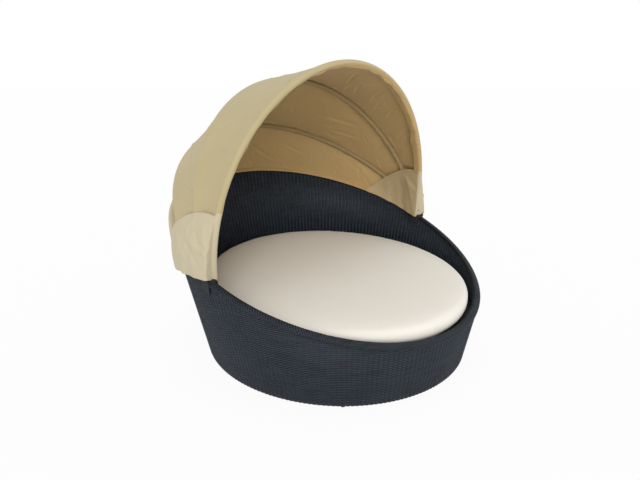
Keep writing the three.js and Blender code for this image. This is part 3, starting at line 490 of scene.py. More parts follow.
def measure_cloth(mesh, points, row, column):
    """Gives the UV map the real lengths in metres along and across the cloth."""
    along = np.linalg.norm(np.diff(points, axis=1), axis=2).mean(axis=0)
    across = np.linalg.norm(np.diff(points, axis=0), axis=2).mean(axis=1)
    along = np.concatenate([[0], np.cumsum(along)]) * MM
    across = np.concatenate([[0], np.cumsum(across)]) * MM
    corner = np.empty(len(mesh.loops), np.int32)
    mesh.loops.foreach_get("vertex_index", corner)
    lengths = np.stack([along[column[corner]], across[row[corner]]], axis=-1)
    mesh.uv_layers["Length"].data.foreach_set("uv", lengths.astype(np.float32).ravel())


def edit_mesh(mesh, edit):
    shape = bmesh.new()
    shape.from_mesh(mesh)
    edit(shape)
    shape.to_mesh(mesh)
    shape.free()
    mesh.update()


def merge_doubles(shape):
    bmesh.ops.remove_doubles(shape, verts=shape.verts, dist=0.02 * MM)


def close_ends(shape):
    open_edges = [edge for edge in shape.edges if edge.is_boundary]
    bmesh.ops.holes_fill(shape, edges=open_edges, sides=0)


def face_outwards(shape):
    bmesh.ops.recalc_face_normals(shape, faces=shape.faces)


def add_thickness(piece, thickness, offset=0, inside_slot=0):
    modifier = piece.modifiers.new("Thickness", "SOLIDIFY")
    modifier.thickness = thickness
    modifier.offset = offset
    modifier.material_offset = inside_slot
    modifier.material_offset_rim = 0


# Materials


def add_node(tree, kind, settings=None, inputs=None, links=None):
    """Adds a node, sets it and links its inputs."""
    node = tree.nodes.new(kind)
    for key, value in (settings or {}).items():
        setattr(node, key, value)
    for key, value in (inputs or {}).items():
        node.inputs[key].default_value = value
    for key, socket in (links or {}).items():
        tree.links.new(socket, node.inputs[key])
    return node


def new_material(name, **shader):
    material = bpy.data.materials.new(name)
    material.use_nodes = True
    tree = material.node_tree
    tree.nodes.clear()
    surface = add_node(tree, "ShaderNodeBsdfPrincipled", inputs=shader)
    add_node(tree, "ShaderNodeOutputMaterial", links={"Surface": surface.outputs[0]})
    return material, tree, surface


def opaque(colour):
    return (*colour, 1)


def tint(tree, surface, pattern, first, second):
    """Colours a surface from the first to the second colour as the pattern goes from 0 to 1."""
    blend = add_node(
        tree,
        "ShaderNodeMix",
        {"data_type": "RGBA"},
        inputs={6: opaque(first), 7: opaque(second)},
        links={0: pattern},
    )
    tree.links.new(blend.outputs[2], surface.inputs["Base Color"])


def object_place(tree):
    return add_node(tree, "ShaderNodeTexCoord").outputs["Object"]


def math_node(tree, operation, first, second=None, value=None):
    links = {0: first} if second is None else {0: first, 1: second}
    inputs = {} if value is None else {1: value}
    node = add_node(tree, "ShaderNodeMath", {"operation": operation}, inputs, links)
    return node.outputs[0]


def noise(tree, vector, scale, detail=2, roughness=0.5):
    """Soft noise with about scale grains in a metre, so that 900 gives grains of 1.1 mm."""
    return add_node(
        tree,
        "ShaderNodeTexNoise",
        inputs={"Scale": scale, "Detail": detail, "Roughness": roughness},
        links={"Vector": vector},
    ).outputs[0]


def bumpy(tree, surface, height, strength, distance):
    bump = add_node(
        tree,
        "ShaderNodeBump",
        inputs={"Strength": strength, "Distance": distance * MM},
        links={"Height": height},
    )
    tree.links.new(bump.outputs[0], surface.inputs["Normal"])


def resin_strand(tub):
    """Extruded polyethylene strand, weathered: a dull black-blue with streaks along each strand.

    Low parts are painted in shade: the colour goes from the strand shade in the gaps beside the
    raised strands to the strand colour on them. The streaks run 110 mm by 9 mm, and a grain of
    6 mm by 0.5 mm keeps the strands from looking freshly extruded.
    """
    name = "extruded polyethylene strand"
    if name in bpy.data.materials:
        return bpy.data.materials[name]
    # The weathered skin has lost most of its gloss
    material, tree, surface = new_material(
        name, Roughness=0.55, IOR=1.5, **{"Specular IOR Level": 0.25}
    )
    streaks = add_node(
        tree,
        "ShaderNodeMapping",
        inputs={"Scale": (1, 1, 12)},
        links={"Vector": object_place(tree)},
    ).outputs[0]
    crown = add_node(tree, "ShaderNodeAttribute", {"attribute_name": CROWN_SHADING}).outputs["Fac"]
    # Painted shade: the lower the crown, the nearer the colour comes to the strand shade
    varied = math_node(tree, "MULTIPLY", crown, noise(tree, streaks, 9, 3, 0.6))
    lit = math_node(tree, "MULTIPLY", varied, value=1.9)
    tint(tree, surface, lit, tub.strand_shade, tub.strand_colour)
    bumpy(tree, surface, noise(tree, streaks, 160, 2), 0.25, 0.4)
    return material


def woven_cloth(name, colour, thread, roughness=0.92, sheen=0.15):
    """Plain woven cloth: threads over and under, drawn at the given spacing in metres.

    It gives the eye a matt surface with a little sheen at its edges and faint fading.
    """
    material, tree, surface = new_material(
        name, Roughness=roughness, IOR=1.45, **{"Sheen Weight": sheen, "Sheen Roughness": 0.5}
    )
    lengths = add_node(tree, "ShaderNodeTexCoord").outputs["UV"]
    split = add_node(tree, "ShaderNodeSeparateXYZ", links={"Vector": lengths})
    waves = []
    for axis in (0, 1):
        turned = math_node(tree, "MULTIPLY", split.outputs[axis], value=2 * math.pi / thread)
        waves.append(math_node(tree, "SINE", turned))
    weave = math_node(tree, "MULTIPLY", *waves)
    tone = noise(tree, lengths, 5, 4, 0.6)
    faded = [c * 0.9 for c in colour]
    tint(tree, surface, tone, faded, colour)
    bumpy(tree, surface, weave, 0.3, 0.3)
    return material


def polyester_cover(cushion):
    """Woven polyester cover: pale and matt, with a fine even grain of threads.

    The grain is 1.1 mm, about twice the real threads' spacing, which would not show.
    """
    material, tree, surface = new_material(
        "woven polyester cover", Roughness=0.85, IOR=1.45, **{"Sheen Weight": 0.2}
    )
    place = object_place(tree)
    faded = [c * 0.95 for c in cushion.cover_colour]
    tint(tree, surface, noise(tree, place, 3, 3, 0.6), faded, cushion.cover_colour)
    bumpy(tree, surface, noise(tree, place, 900, 2), 0.15, 0.2)
    return material


def grained(name, code, roughness, ior, scale):
    """A dark surface with a fine grain, whose scale is as in noise."""
    material, tree, surface = new_material(
        name, Roughness=roughness, IOR=ior, **{"Base Color": opaque(srgb(code))}
    )
    bumpy(tree, surface, noise(tree, object_place(tree), scale, 2), 0.2, 0.1)
    return material


def zinc_plate():
    """Zinc-plated steel: metallic, with the 8 mm clouds of its passivated skin."""
    material, tree, surface = new_material("zinc-plated steel", Metallic=1, Roughness=0.35)
    cloud = noise(tree, object_place(tree), 120, 3)
    tint(tree, surface, cloud, srgb("#85898c"), srgb("#a3a7a9"))
    return material


def paint_nodes(material, *words):
    """Gives a material to the solids whose names start with one of the words."""
    for name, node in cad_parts.items():
        if name.startswith(words):
            node.data.materials.clear()
            node.data.materials.append(material)


# The woven tub


def weave_dashes(tub, strand, offset, facing, low_plane, drop, stakes):
    """The stretches of flat strand that pass over a stake, row by row up to the rim."""
    pitch, width = 2 * tub.strand_pitch / MM, strand[0] / MM
    thick, depth = tub.strand_thickness / MM, tub.weave_depth / MM
    half = strand[1] / MM / 2 / HALF_WIDTH
    aside = np.array([-1.35, -0.8, 0.8, 1.35]) * half
    stands = np.array([-0.5, depth, depth, -0.5])
    section = [(0, -0.5), (0.7 * thick, 0), (0, 0.5), (0, -0.5)]
    points = []
    for stake in stakes:
        turn = 2 * math.pi * stake / tub.stakes
        low = on_wall(turn, offset, *low_plane)[2]
        high = on_rim(turn, offset, drop)[2]
        for row in range(math.ceil(low / pitch), int((high - width / 2) / pitch) + 1):
            z = row * pitch
            for raised, rise in section:
                reach = offset - facing * (stands + raised)
                points.append(wall_point(turn + aside, reach, z + rise * width))
    # Painted shade: each dash is darker at its ends, where it goes into the weave
    crown = np.broadcast_to([0.3, 1.0, 1.0, 0.3], (len(points), 4))
    return np.array(points), crown, len(section)


def weave_skin(name, tub, strand, offset, facing, low_plane, drop):
    """Strands over the stakes in four quarters, and a sheet of painted shade behind them."""
    ground = weave_ground(name, tub, offset, low_plane, drop)
    finish_wicker(ground, tub)
    quarter = tub.stakes // 4
    for part, word in enumerate(("front_right", "back_right", "back_left", "front_left")):
        stakes = range(part * quarter, (part + 1) * quarter)
        place = offset, facing, low_plane, drop
        points, crown, lines = weave_dashes(tub, strand, *place, stakes)
        piece = grid_piece(f"{name}_strands_{word}", points, lines, merge=True, crown=crown)
        finish_wicker(piece, tub)
    return ground


def weave_ground(name, tub, offset, low_plane, drop):
    """The dense middle of the weave as a sheet of painted shade: dark beside the stakes, a little
    lighter between them.
    """
    share = np.array([-0.36, -0.3, 0.3, 0.36])
    turn = (np.arange(tub.stakes)[:, None] + share).ravel()
    turn = np.append(turn, turn[0] + tub.stakes) * 2 * math.pi / tub.stakes
    loop = []
    for inward in (-0.4, 0.4):
        loop.append(on_wall(turn, offset + inward, *low_plane))
        loop.append(on_rim(turn, offset + inward, drop))
    points = np.array([loop[0], loop[1], loop[3], loop[2], loop[0]])
    # Painted shade: darkest beside the stakes, a little lighter between them
    tone = np.append(np.tile([0.4, 0, 0, 0.4], tub.stakes), 0.4)
    crown = np.broadcast_to(tone, points.shape[:2])
    return grid_piece(f"{name}_ground", points, merge=True, crown=crown)


def finish_wicker(piece, tub):
    edit_mesh(piece.data, close_ends)
    edit_mesh(piece.data, face_outwards)
    piece.data.materials.append(resin_strand(tub))
    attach(piece, "basket")


class DAYBED_OT_weave_tub(bpy.types.Operator):
    """Weave the outer and inner skins of the tub"""

    bl_idname = "daybed.weave_tub"
    bl_label = "Weave Tub"

    def execute(self, context):
        tub = settings_of(context, "tub")
        middle = WEAVE_THICKNESS / 2
        strand = tub.strand_width, tub.stake_width
        outer = weave_skin("outer", tub, strand, OUTER_WEAVE + middle, 1, (LIP_HEIGHT, 0), 12)
        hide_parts("outer_weave")
        seat = (SEAT_HEIGHT, SEAT_SLOPE)
        strand = tub.inner_strand_width, tub.inner_stake_width
        inner = weave_skin("inner", tub, strand, INNER_WEAVE + middle, -1, seat, 3)
        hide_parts("inner_weave")
        paint_nodes(resin_strand(tub), "deck_panel")
        return {"FINISHED"}


WRAP_OUTSIDE = [(0.4, 16), (-0.6, 10), (0.4, 5), (3, 1.4), (7, -0.6), (13, -2.6)]


def wrap_section():
    """The rim wrap's section as pairs of offset and drop, round the outside then the inside."""
    inner = [(WALL_THICKNESS - wide, drop) for wide, drop in WRAP_OUTSIDE[::-1]]
    top = [(WALL_THICKNESS / 2, -3.4)]
    under = [
        (WALL_THICKNESS, WRAP_INNER_LEG),
        (WALL_THICKNESS - 3, WRAP_INNER_LEG),
        (WALL_THICKNESS - 3, 6),
        (3, 6),
        (3, WRAP_OUTER_LEG),
    ]
    return WRAP_OUTSIDE + top + inner[:-1] + under


class DAYBED_OT_wrap_rim(bpy.types.Operator):
    """Wrap the rim and lay slanting strands over it"""

    bl_idname = "daybed.wrap_rim"
    bl_label = "Wrap Rim"

    def execute(self, context):
        tub = settings_of(context, "tub")
        piece = self.wrapping(tub)
        finish_wicker(piece, tub)
        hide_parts("rim_wrap")
        finish_wicker(self.plait(tub), tub)
        return {"FINISHED"}

    def wrapping(self, tub):
        section = wrap_section()
        stations = 2 * round(RIM_LENGTH / (tub.wrap_pitch / MM))
        turn = 2 * math.pi * np.arange(stations + 1) / stations
        odd = np.arange(stations + 1) % 2
        ridge = np.where(odd, 1.0, 0)
        centre_offset, centre_drop = WALL_THICKNESS / 2, 14
        points = []
        for offset, drop in section + section[:1]:
            reach = math.hypot(offset - centre_offset, drop - centre_drop)
            out = (offset - centre_offset) / reach
            down = (drop - centre_drop) / reach
            points.append(on_rim(turn, offset + ridge * out, drop + ridge * down))
        # Painted shade: the wrap stays near the strand shade, every other turn a little lighter
        crown = np.broadcast_to(0.15 + 0.1 * odd, (len(points), stations + 1))
        return grid_piece("rim_wrapping", np.array(points), merge=True, crown=crown)

    def plait(self, tub):
        """Slanting strands, side by side, over the rim."""
        count = round(RIM_LENGTH / PLAIT_PITCH)
        half = 0.4 * PLAIT_PITCH / HALF_WIDTH
        slant = PLAIT_SLANT / HALF_WIDTH
        route = [(38, 2), (31, -2.8), (20, -4), (9, -2), (1.8, 2.6), (-1.2, 9), (0.6, 17)]
        points, crown = [], []
        for strand in range(count):
            turn = 2 * math.pi * strand / count
            for aside, raised in ((-half, 0), (0, 2.4), (half, 0), (0, -1.5), (-half, 0)):
                line = []
                for step, (offset, drop) in enumerate(route):
                    along = turn + aside + slant * (step / (len(route) - 1) - 0.5)
                    line.append(on_rim(along, offset - raised, drop - raised / 2))
                points.append(line)
                # Painted shade and light: the raised middle of each strand is lighter, its edges
                # and underside dark
                crown.append([PLAIT_LIT_SHARE if raised > 0 else 0.0] * len(route))
        return grid_piece(
            "rim_plait", np.array(points), 5, merge=True, crown=np.array(crown)
        )


class DAYBED_OT_finish_frame(bpy.types.Operator):
    """Coat the steel frame, the fittings and the glides"""

    bl_idname = "daybed.finish_frame"
    bl_label = "Finish Frame"

    def execute(self, context):
        # Powder coat: half-dull black with the fine orange peel of its melted grains
        coat = grained("powder-coated steel", "#26282b", 0.55, 1.5, 900)
        paint_nodes(coat, "base_ring", "rim_ring", "deck_ring", "rib_", "deck_bar", "bow_")
        # The fittings' matt powder coat scatters more light, so that it shows no highlight
        dull = grained("matt powder-coated steel", "#15181c", 0.8, 1.5, 900)
        paint_nodes(dull, "pivot_bracket", "bracket_rivet")
        paint_nodes(zinc_plate(), "pivot_pin", "pivot_nut", "rear_bow_clip")
        # Polypropylene: dull black with the coarser grain of a spark-eroded mould
        plastic = grained("moulded polypropylene", "#1b1c1e", 0.6, 1.49, 700)
        paint_nodes(plastic, "foot_", "pivot_spacer")
        return {"FINISHED"}


# The cushion


def cushion_profile(cushion):
    """Half of the cushion's section as share of the radius and height, from the bottom up."""
    thickness, crown = cushion.thickness / MM, cushion.crown / MM
    edge = cushion.edge_radius / MM
    radius = cushion.half_width / MM
    corner = [math.pi / 2 * step / 8 for step in range(9)]
    points = [(0, 0), (0.35, 0), (0.7, 0)]
    for t in corner:
        points.append((1 - edge * (1 - math.sin(t)) / radius, edge * (1 - math.cos(t))))
    for t in corner[::-1]:
        across = 1 - edge * (1 - math.sin(t)) / radius
        points.append((across, thickness - edge * (1 - math.cos(t))))
    for share in (0.8, 0.6, 0.4, 0.2, 0):
        points.append((share * 0.94, thickness + crown * (1 - share**2)))
    return points


def evaluated_copy(piece):
    graph = bpy.context.evaluated_depsgraph_get()
    return bpy.data.meshes.new_from_object(piece.evaluated_get(graph))


def set_mesh(piece, mesh):
    old = piece.data
    piece.modifiers.clear()
    piece.data = mesh
    bpy.data.meshes.remove(old)


def swell(piece, voxel, pressure, travel):
    """Remeshes a pad and blows it up as cloth under pressure, no point beyond the travel."""
    remesh = piece.modifiers.new("Remesh", "REMESH")
    remesh.mode = "VOXEL"
    remesh.voxel_size = voxel
    set_mesh(piece, evaluated_copy(piece))
    start = read_points(piece.data).astype(float)
    cloth = piece.modifiers.new("Cloth", "CLOTH")
    cloth.settings.use_pressure = True
    cloth.settings.uniform_pressure_force = pressure
    cloth.settings.effector_weights.gravity = 0
    for step in range(1, 21):
        bpy.context.scene.frame_set(step)
    set_mesh(piece, evaluated_copy(piece))
    bpy.context.scene.frame_set(1)
    moved = read_points(piece.data) - start
    size = np.linalg.norm(moved, axis=1, keepdims=True)
    limited = moved * np.minimum(1, travel / np.maximum(size, 1e-9))
    write_points(piece.data, start + limited)


class DAYBED_OT_pad_cushion(bpy.types.Operator):
    """Pad the seat cushion"""

    bl_idname = "daybed.pad_cushion"
    bl_label = "Pad Cushion"

    def execute(self, context):
        cushion = settings_of(context, "cushion")
        shape = bmesh.new()
        corners = [shape.verts.new((r, 0, z * MM)) for r, z in cushion_profile(cushion)]
        edges = [shape.edges.new(pair) for pair in zip(corners, corners[1:])]
        bmesh.ops.spin(
            shape,
            geom=corners + edges,
            cent=(0, 0, 0),
            axis=(0, 0, 1),
            angle=2 * math.pi,
            steps=160,
            use_merge=True,
        )
        bmesh.ops.remove_doubles(shape, verts=shape.verts, dist=0.01 * MM)
        face_outwards(shape)
        mesh = mesh_from(shape, "seat_cushion")
        points = read_points(mesh).astype(float)
        points[:, 0] *= cushion.half_width
        points[:, 1] *= cushion.half_depth
        write_points(mesh, points)
        piece = new_piece("seat_cushion", mesh)
        swell(piece, PAD_VOXEL, PAD_PRESSURE, PAD_TRAVEL)
        self.seat(piece.data, cushion)
        piece.data.shade_smooth()
        smooth = piece.modifiers.new("Round", "SUBSURF")
        smooth.levels = smooth.render_levels = 1
        piece.data.materials.append(polyester_cover(cushion))
        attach(piece, "cushion")
        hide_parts("cushion_cover", "cushion_foam", "cushion_zip")
        return {"FINISHED"}

    def seat(self, mesh, cushion):
        """Flattens the pad where it rests and sets it on the sloping deck."""
        points = read_points(mesh).astype(float)
        points[:, 2] = np.maximum(points[:, 2], 0)
        points[:, 1] -= cushion.shift
        points[:, 2] += (SEAT_HEIGHT + 0.3) * MM + SEAT_SLOPE * points[:, 1]
        points[:, 1] += BASE_Y
        write_points(mesh, points)


# The canopy

# Each sector of the hood, with the bodies at its rear and at its front
SECTORS = [
    ("front", "second_bow", "front_bow"),
    ("middle", "third_bow", "second_bow"),
    ("rear", "basket", "third_bow"),
]
SIDES = (("right", 1), ("left", -1))

GORE_COLUMNS = 451
GORE_ROWS = 91
BROAD_WAVES = 7
SMALL_CREASES = 90
EDGE_CREASES = 60


def canvas(canopy, face):
    """Acrylic canvas for awnings, with a colour for each face. The inside is a warmer, more orange
    copy of the outside's colour, as painted bounce light under the hood.

    Its threads are drawn 3 mm apart, several times the real spacing, which would not show.
    """
    name = f"canvas {face}"
    made = bpy.data.materials.get(name)
    return made or woven_cloth(name, getattr(canopy, face + "_colour"), 3 * MM)


def gore_rows(front_line, back_line, shares):
    rows = []
    for v in shares:
        inward = unit(np.array([0, 2 * PIVOT_Y, 2 * PIVOT_Z]) - front_line - back_line)
        rows.append(mix(front_line, back_line, v) + inward * 4 * SAG * v * (1 - v))
    return rows


def push_out(points, amount):
    """Moves the points of a sheet along its normals, away from the middle of the canopy."""
    along = np.gradient(points, axis=1)
    across = np.gradient(points, axis=0)
    normal = unit(np.cross(along, across))
    away = (points - [0, PIVOT_Y, PIVOT_Z]) * normal
    return points + normal * np.sign(away.sum()) * amount[..., None]


def crease(along, across, place, direction, size):
    """One sharp ridge with a softer hollow beside it. Lengths are in millimetres."""
    length, width, depth = size
    side = across - place[1]
    ahead = along - place[0]
    p = ahead * math.cos(direction) + side * math.sin(direction)
    q = side * math.cos(direction) - ahead * math.sin(direction)
    q = q + 0.12 * p * p / length
    reach = np.exp(-((2 * p / length) ** 4))
    shape = np.exp(-((q / width) ** 2)) - 0.6 * np.exp(-(((q - 1.7 * width) / width) ** 2))
    return depth * reach * shape


def creased(points, spots, seed, waves):
    """Adds broad waves, named creases and a scatter of small ones to a gore."""
    draw = np.random.default_rng(seed)
    rows, columns = points.shape[:2]
    run = np.linalg.norm(np.diff(points, axis=1), axis=2).mean(axis=0)
    along = np.concatenate([[0], np.cumsum(run)])[None, :] * np.ones((rows, 1))
    depth = np.linalg.norm(points[-1] - points[0], axis=1)
    v = np.linspace(0, 1, rows)[:, None]
    across = v * depth[None, :]
    length = along[0, -1]
    amount = np.zeros((rows, columns))
    for _ in range(BROAD_WAVES):
        pitch, lean = draw.uniform(180, 420), draw.uniform(-0.8, 0.8)
        phase = draw.uniform(0, 2 * math.pi)
        line = along * math.cos(lean) + across * math.sin(lean)
        amount += waves / 3 * np.sin(2 * math.pi * line / pitch + phase)
    for share, row, direction, size in spots:
        column = round(share * (columns - 1))
        place = along[0, column], row * depth[column]
        amount += crease(along, across, place, math.radians(direction), size)
    for _ in range(SMALL_CREASES):
        place = draw.uniform(0, length), draw.uniform(0.05, 0.95) * depth.max()
        direction = math.radians(draw.choice([90, 70, 25, -25, -60]) + draw.uniform(-15, 15))
        size = draw.uniform(50, 140), draw.uniform(8, 12), draw.uniform(0.8, 2.4)
        amount += crease(along, across, place, direction, size)
    for edge in (0.0, 1.0):
        for _ in range(EDGE_CREASES):
            column = draw.integers(columns)
            place = along[0, column], abs(edge - 0.07) * depth[column]
            direction = math.radians(90 + draw.uniform(-12, 12))
            size = draw.uniform(30, 80), draw.uniform(7, 10), draw.uniform(0.8, 2.2)
            amount += crease(along, across, place, direction, size)
    fade = smooth_step(np.minimum(v, 1 - v), 0.025, 0.1)
    return push_out(points, amount * fade)


def fold_between(piece, rear_body, front_body, start, end, shares):
    """Bakes the piece's place into its mesh; the cloth is not folded between the bows.
    The shares of the way between them are not used.
    """
    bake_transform(piece)


def canopy_sheet(name, points, materials, canopy):
    piece = grid_piece(name, points)
    for material in materials:
        piece.data.materials.append(material)
    add_thickness(piece, canopy.cloth_thickness, 0, len(materials) - 1)
    return piece


# Creases that the cloth shows inside: share of the length from the left, share of the way
# back, direction in degrees, then length, width and depth in millimetres
FRONT_CREASES = [
    (0.62, 0.5, 60, (150, 10, 4.2)),
    (0.67, 0.62, 50, (120, 10, 4)),
    (0.71, 0.4, 65, (160, 10, 4.6)),
    (0.75, 0.55, 60, (140, 9, 4.2)),
    (0.79, 0.45, 55, (130, 9, 4)),
    (0.83, 0.6, 70, (110, 9, 3.6)),
    (0.87, 0.5, 65, (90, 9, 3.4)),
]
MIDDLE_CREASES = [
    (0.74, 0.42, -25, (220, 11, 3)),
    (0.79, 0.6, -30, (220, 11, 3)),
    (0.56, 0.5, -15, (180, 11, 2.6)),
    (0.5, 0.55, 40, (150, 10, 2.6)),
    (0.42, 0.7, 60, (120, 10, 2.6)),
]
REAR_CREASES = [
    (0.38, 0.35, 60, (110, 9, 5)),
    (0.41, 0.42, 50, (130, 9, 5)),
    (0.44, 0.3, 55, (110, 9, 5)),
    (0.47, 0.5, 45, (130, 9, 5)),
    (0.51, 0.38, 60, (100, 9, 4.4)),
    (0.55, 0.52, 30, (150, 10, 4.4)),
    (0.6, 0.7, 20, (160, 10, 4)),
    (0.34, 0.55, 65, (120, 9, 4)),
    (0.68, 0.45, 10, (170, 10, 3.4)),
]

# Offsets and drops of the rows in which the rear sheet goes on down inside the rim
REAR_LEDGE = [(33, -9.5), (38, -8), (42, -5.5), (43.3, -2), (43.3, 3)]


def rounded_hem(bow, angles, radii, share):
    """Rows of cloth round a bow's tube. An angle of 90 degrees is outwards and 0 is forwards."""
    rows = []
    for turn, radius in zip(np.radians(angles), radii):
        rows.append(bow_point(bow, share, radius * np.sin(turn), radius * np.cos(turn)))
    return rows


def front_edge(share):
    """Where the cloth outside ends on the front bow, in degrees: further inside on the left."""
    return mix(-50, 8, smooth_step(share, -0.5, 0.2))


class DAYBED_OT_stretch_canopy(bpy.types.Operator):
    """Stretch the canopy cloth over its bows"""

    bl_idname = "daybed.stretch_canopy"
    bl_label = "Stretch Canopy"

    def execute(self, context):
        canopy = settings_of(context, "canopy")
        materials = canvas(canopy, "outside"), canvas(canopy, "inside")
        share = np.linspace(-1, 1, GORE_COLUMNS)
        lines = []
        tucks = FRONT_TUCK, GORE_TUCK, GORE_TUCK
        for bow, tuck in zip((FRONT_BOW, SECOND_BOW, THIRD_BOW), tucks):
            lines.append(bow_point(bow, share * (bow.reach + tuck), CREST))
        rear_u = share * (REAR_REACH + GORE_TUCK)
        touch, _, _ = rear_tangent(rear_u, lines[2])
        steps = np.linspace(0, 1, GORE_ROWS)

        front = creased(np.array(gore_rows(lines[0], lines[1], steps)), FRONT_CREASES, 3, 1.5)
        middle = creased(np.array(gore_rows(lines[1], lines[2], steps)), MIDDLE_CREASES, 5, 2)
        rear = creased(np.array(gore_rows(lines[2], touch, steps)), REAR_CREASES, 8, 2)

        angles = np.linspace(front_edge(share), 82, 12)
        radii = np.linspace(HEM_RADIUS, CREST, 12)
        hem = rounded_hem(FRONT_BOW, angles, radii, share * (FRONT_BOW.reach + FRONT_TUCK))
        ledge = [on_rim(math.pi - rear_u, offset, drop) for offset, drop in REAR_LEDGE]
        turning = list(1 - steps)
        sheets = [
            ([*hem, *front], [1.0] * len(hem) + turning, ["bow_front", "bow_second"]),
            (middle, turning, ["bow_second", "bow_third"]),
            ([*rear, *ledge], turning + [0.0] * len(ledge), ["bow_third"]),
        ]
        centre = GORE_COLUMNS // 2
        for (word, *bodies), (rows, weights, rests_on) in zip(SECTORS, sheets):
            points = np.array(rows)
            piece = canopy_sheet(f"canopy_{word}_sheet", points, materials, canopy)
            ends = to_frame(points[-1, centre]), to_frame(points[0, centre])
            fold_between(piece, *bodies, *ends, np.repeat(np.array(weights), GORE_COLUMNS))
            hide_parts(f"canopy_{word}_gore")
        return {"FINISHED"}


def ruffle_depth(length, slow, pucker, back):
    """How far the front flap stands off its bow, with slanting puckers on the right."""
    fine = np.sin(2 * math.pi * (length + 24 * back) / 15)
    return 5 + 2.8 * slow + pucker * (4.2 * fine - slow)


class DAYBED_OT_bind_front(bpy.types.Operator):
    """Bind the front edge: the cloth goes round the front bow and its flap puckers inside"""

    bl_idname = "daybed.bind_front"
    bl_label = "Bind Front"

    def execute(self, context):
        canopy = settings_of(context, "canopy")
        share = np.linspace(-1, 1, 1001)
        u = share * (FRONT_BOW.reach + LINING_TUCK + math.radians(1))
        rows = []
        start = front_edge(share) + 8
        length = u * FRONT_BOW.height
        pucker = smooth_step(u, math.radians(30), math.radians(52))
        slow = np.sin(length / 29) * np.sin(length / 83 + 1) + 0.5 * np.sin(length / 17 + 2)
        edge = HEM_FLAP * (1 + 0.12 * np.sin(length / 61) + 0.1 * np.sin(length / 27 + 1))
        for way in np.linspace(0, 1, 11):
            lean = mix(start, -90, way)
            loose = smooth_step(-lean, mix(60, 10, pucker), 90)
            radius = FLAP_RADIUS + loose * ruffle_depth(length, slow, pucker, 0.2 * loose)
            turn = np.radians(lean)
            rows.append(bow_point(FRONT_BOW, u, radius * np.sin(turn), radius * np.cos(turn)))
        for back in np.linspace(0, 1, 15)[1:]:
            out = -FLAP_RADIUS - ruffle_depth(length, slow, pucker, 0.2 + back)
            rows.append(bow_point(FRONT_BOW, u, out, -edge * back))
        points = np.array(rows)
        piece = canopy_sheet("canopy_front_binding", points, [canvas(canopy, "inside")], canopy)
        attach(piece, "front_bow")
        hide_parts("canopy_front_hem")
        return {"FINISHED"}


class DAYBED_OT_sew_sleeves(bpy.types.Operator):
    """Sew the sleeves that hold the cloth to the second and third bows"""

    bl_idname = "daybed.sew_sleeves"
    bl_label = "Sew Sleeves"

    def execute(self, context):
        canopy = settings_of(context, "canopy")
        share = np.linspace(-1, 1, 181)
        for word, bow in (("second", SECOND_BOW), ("third", THIRD_BOW)):
            angles = np.linspace(78, -258, 21)
            rows = rounded_hem(bow, angles, [SLEEVE] * 21, share * (bow.reach + GORE_TUCK / 2))
            points = np.array(rows)
            cloth = canvas(canopy, "sleeve")
            piece = canopy_sheet(f"{word}_bow_pocket", points, [cloth], canopy)
            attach(piece, f"{word}_bow")
            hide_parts(f"{word}_bow_sleeve")
        return {"FINISHED"}


def folded(points, folds, down, ripple, wave):
    """Folds a corner piece below its seam, and lets its hem ripple."""
    free = smooth_step(down, 0.02, 0.15)
    points[..., 0] += free * in_side_view(points, folds)
    points[..., 0] += ripple * free * down**3 * np.sin(wave)
    return points


def patch_surface(side, a, down):
    return folded(patch_point(side, a, down), PATCH_FOLDS, down, 3, 7.5 * a + 1)


def lining_surface(side, a, down):
    return folded(lining_point(side, a, down), LINING_FOLDS, down, -2, 9 * a)


class DAYBED_OT_fit_corner_patches(bpy.types.Operator):
    """Fit the patches and linings that close the canopy down to its pivots"""

    bl_idname = "daybed.fit_corner_patches"
    bl_label = "Fit Corner Patches"

    def execute(self, context):
        canopy = settings_of(context, "canopy")
        share, down = np.meshgrid(np.linspace(0, 1, 31), np.linspace(0, 1, 73))
        makers = [("patch", patch_surface), ("lining", lining_surface)]
        for side_word, side in SIDES:
            for word, place in makers:
                for sector, (sector_word, *bodies) in enumerate(SECTORS):
                    points = place(side_word, sector + share, down)
                    points[..., 0] *= side
                    name = f"corner_{word}_{side_word}_{sector_word}"
                    piece = canopy_sheet(name, points, [canvas(canopy, word)], canopy)
                    ends = to_frame(points[0, -1]), to_frame(points[0, 0])
                    fold_between(piece, *bodies, *ends, (1 - share).ravel())
                    if sector == 0:
                        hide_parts(f"corner_{word}_{side_word}")
            self.wrap_corner(canopy, side_word, side)
        return {"FINISHED"}

    def wrap_corner(self, canopy, side_word, side):
        """Wraps the front edge of a corner round the lower end of the front bow."""
        down = np.linspace(0, 1, 61)
        front = np.zeros((61, 1))
        patch = patch_surface(side_word, front, down[:, None])[:, 0]
        lining = lining_surface(side_word, front, down[:, None])[:, 0]
        points = np.array(self.round_the_bow(down, patch, lining, WRAP_REACH[side_word]))
        points[..., 0] *= side
        name = f"corner_wrap_{side_word}"
        piece = canopy_sheet(name, points, [canvas(canopy, "patch")], canopy)
        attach(piece, "front_bow")

    def round_the_bow(self, down, patch, lining, reach):
        """Rows from the patch round the bow, reaching further forwards at its bracket."""
        start = FRONT_BOW.height * math.cos(FRONT_BOW.reach + LINING_TUCK)
        r = mix(start, CORNER_END, down)
        u = np.arccos(np.clip(r / FRONT_BOW.height, 0, 1))
        lean = np.array([0, -math.sin(FRONT_BOW.angle), math.cos(FRONT_BOW.angle)])
        below = np.minimum(r, 0)[:, None] * lean
        rows = []
        for turn in np.radians(np.linspace(60, -85, 13)):
            wide = mix(CORNER_RADIUS, reach, smooth_step(down, 0.68, 0.84))
            out = CORNER_RADIUS * math.sin(turn)
            rows.append(bow_point(FRONT_BOW, u, out, wide * math.cos(turn)) + below)
        web = [mix(patch, rows[0], share) for share in (0, 0.25, 0.5, 0.75)]
        return [*web, *rows, mix(rows[-1], lining, 0.5), lining]


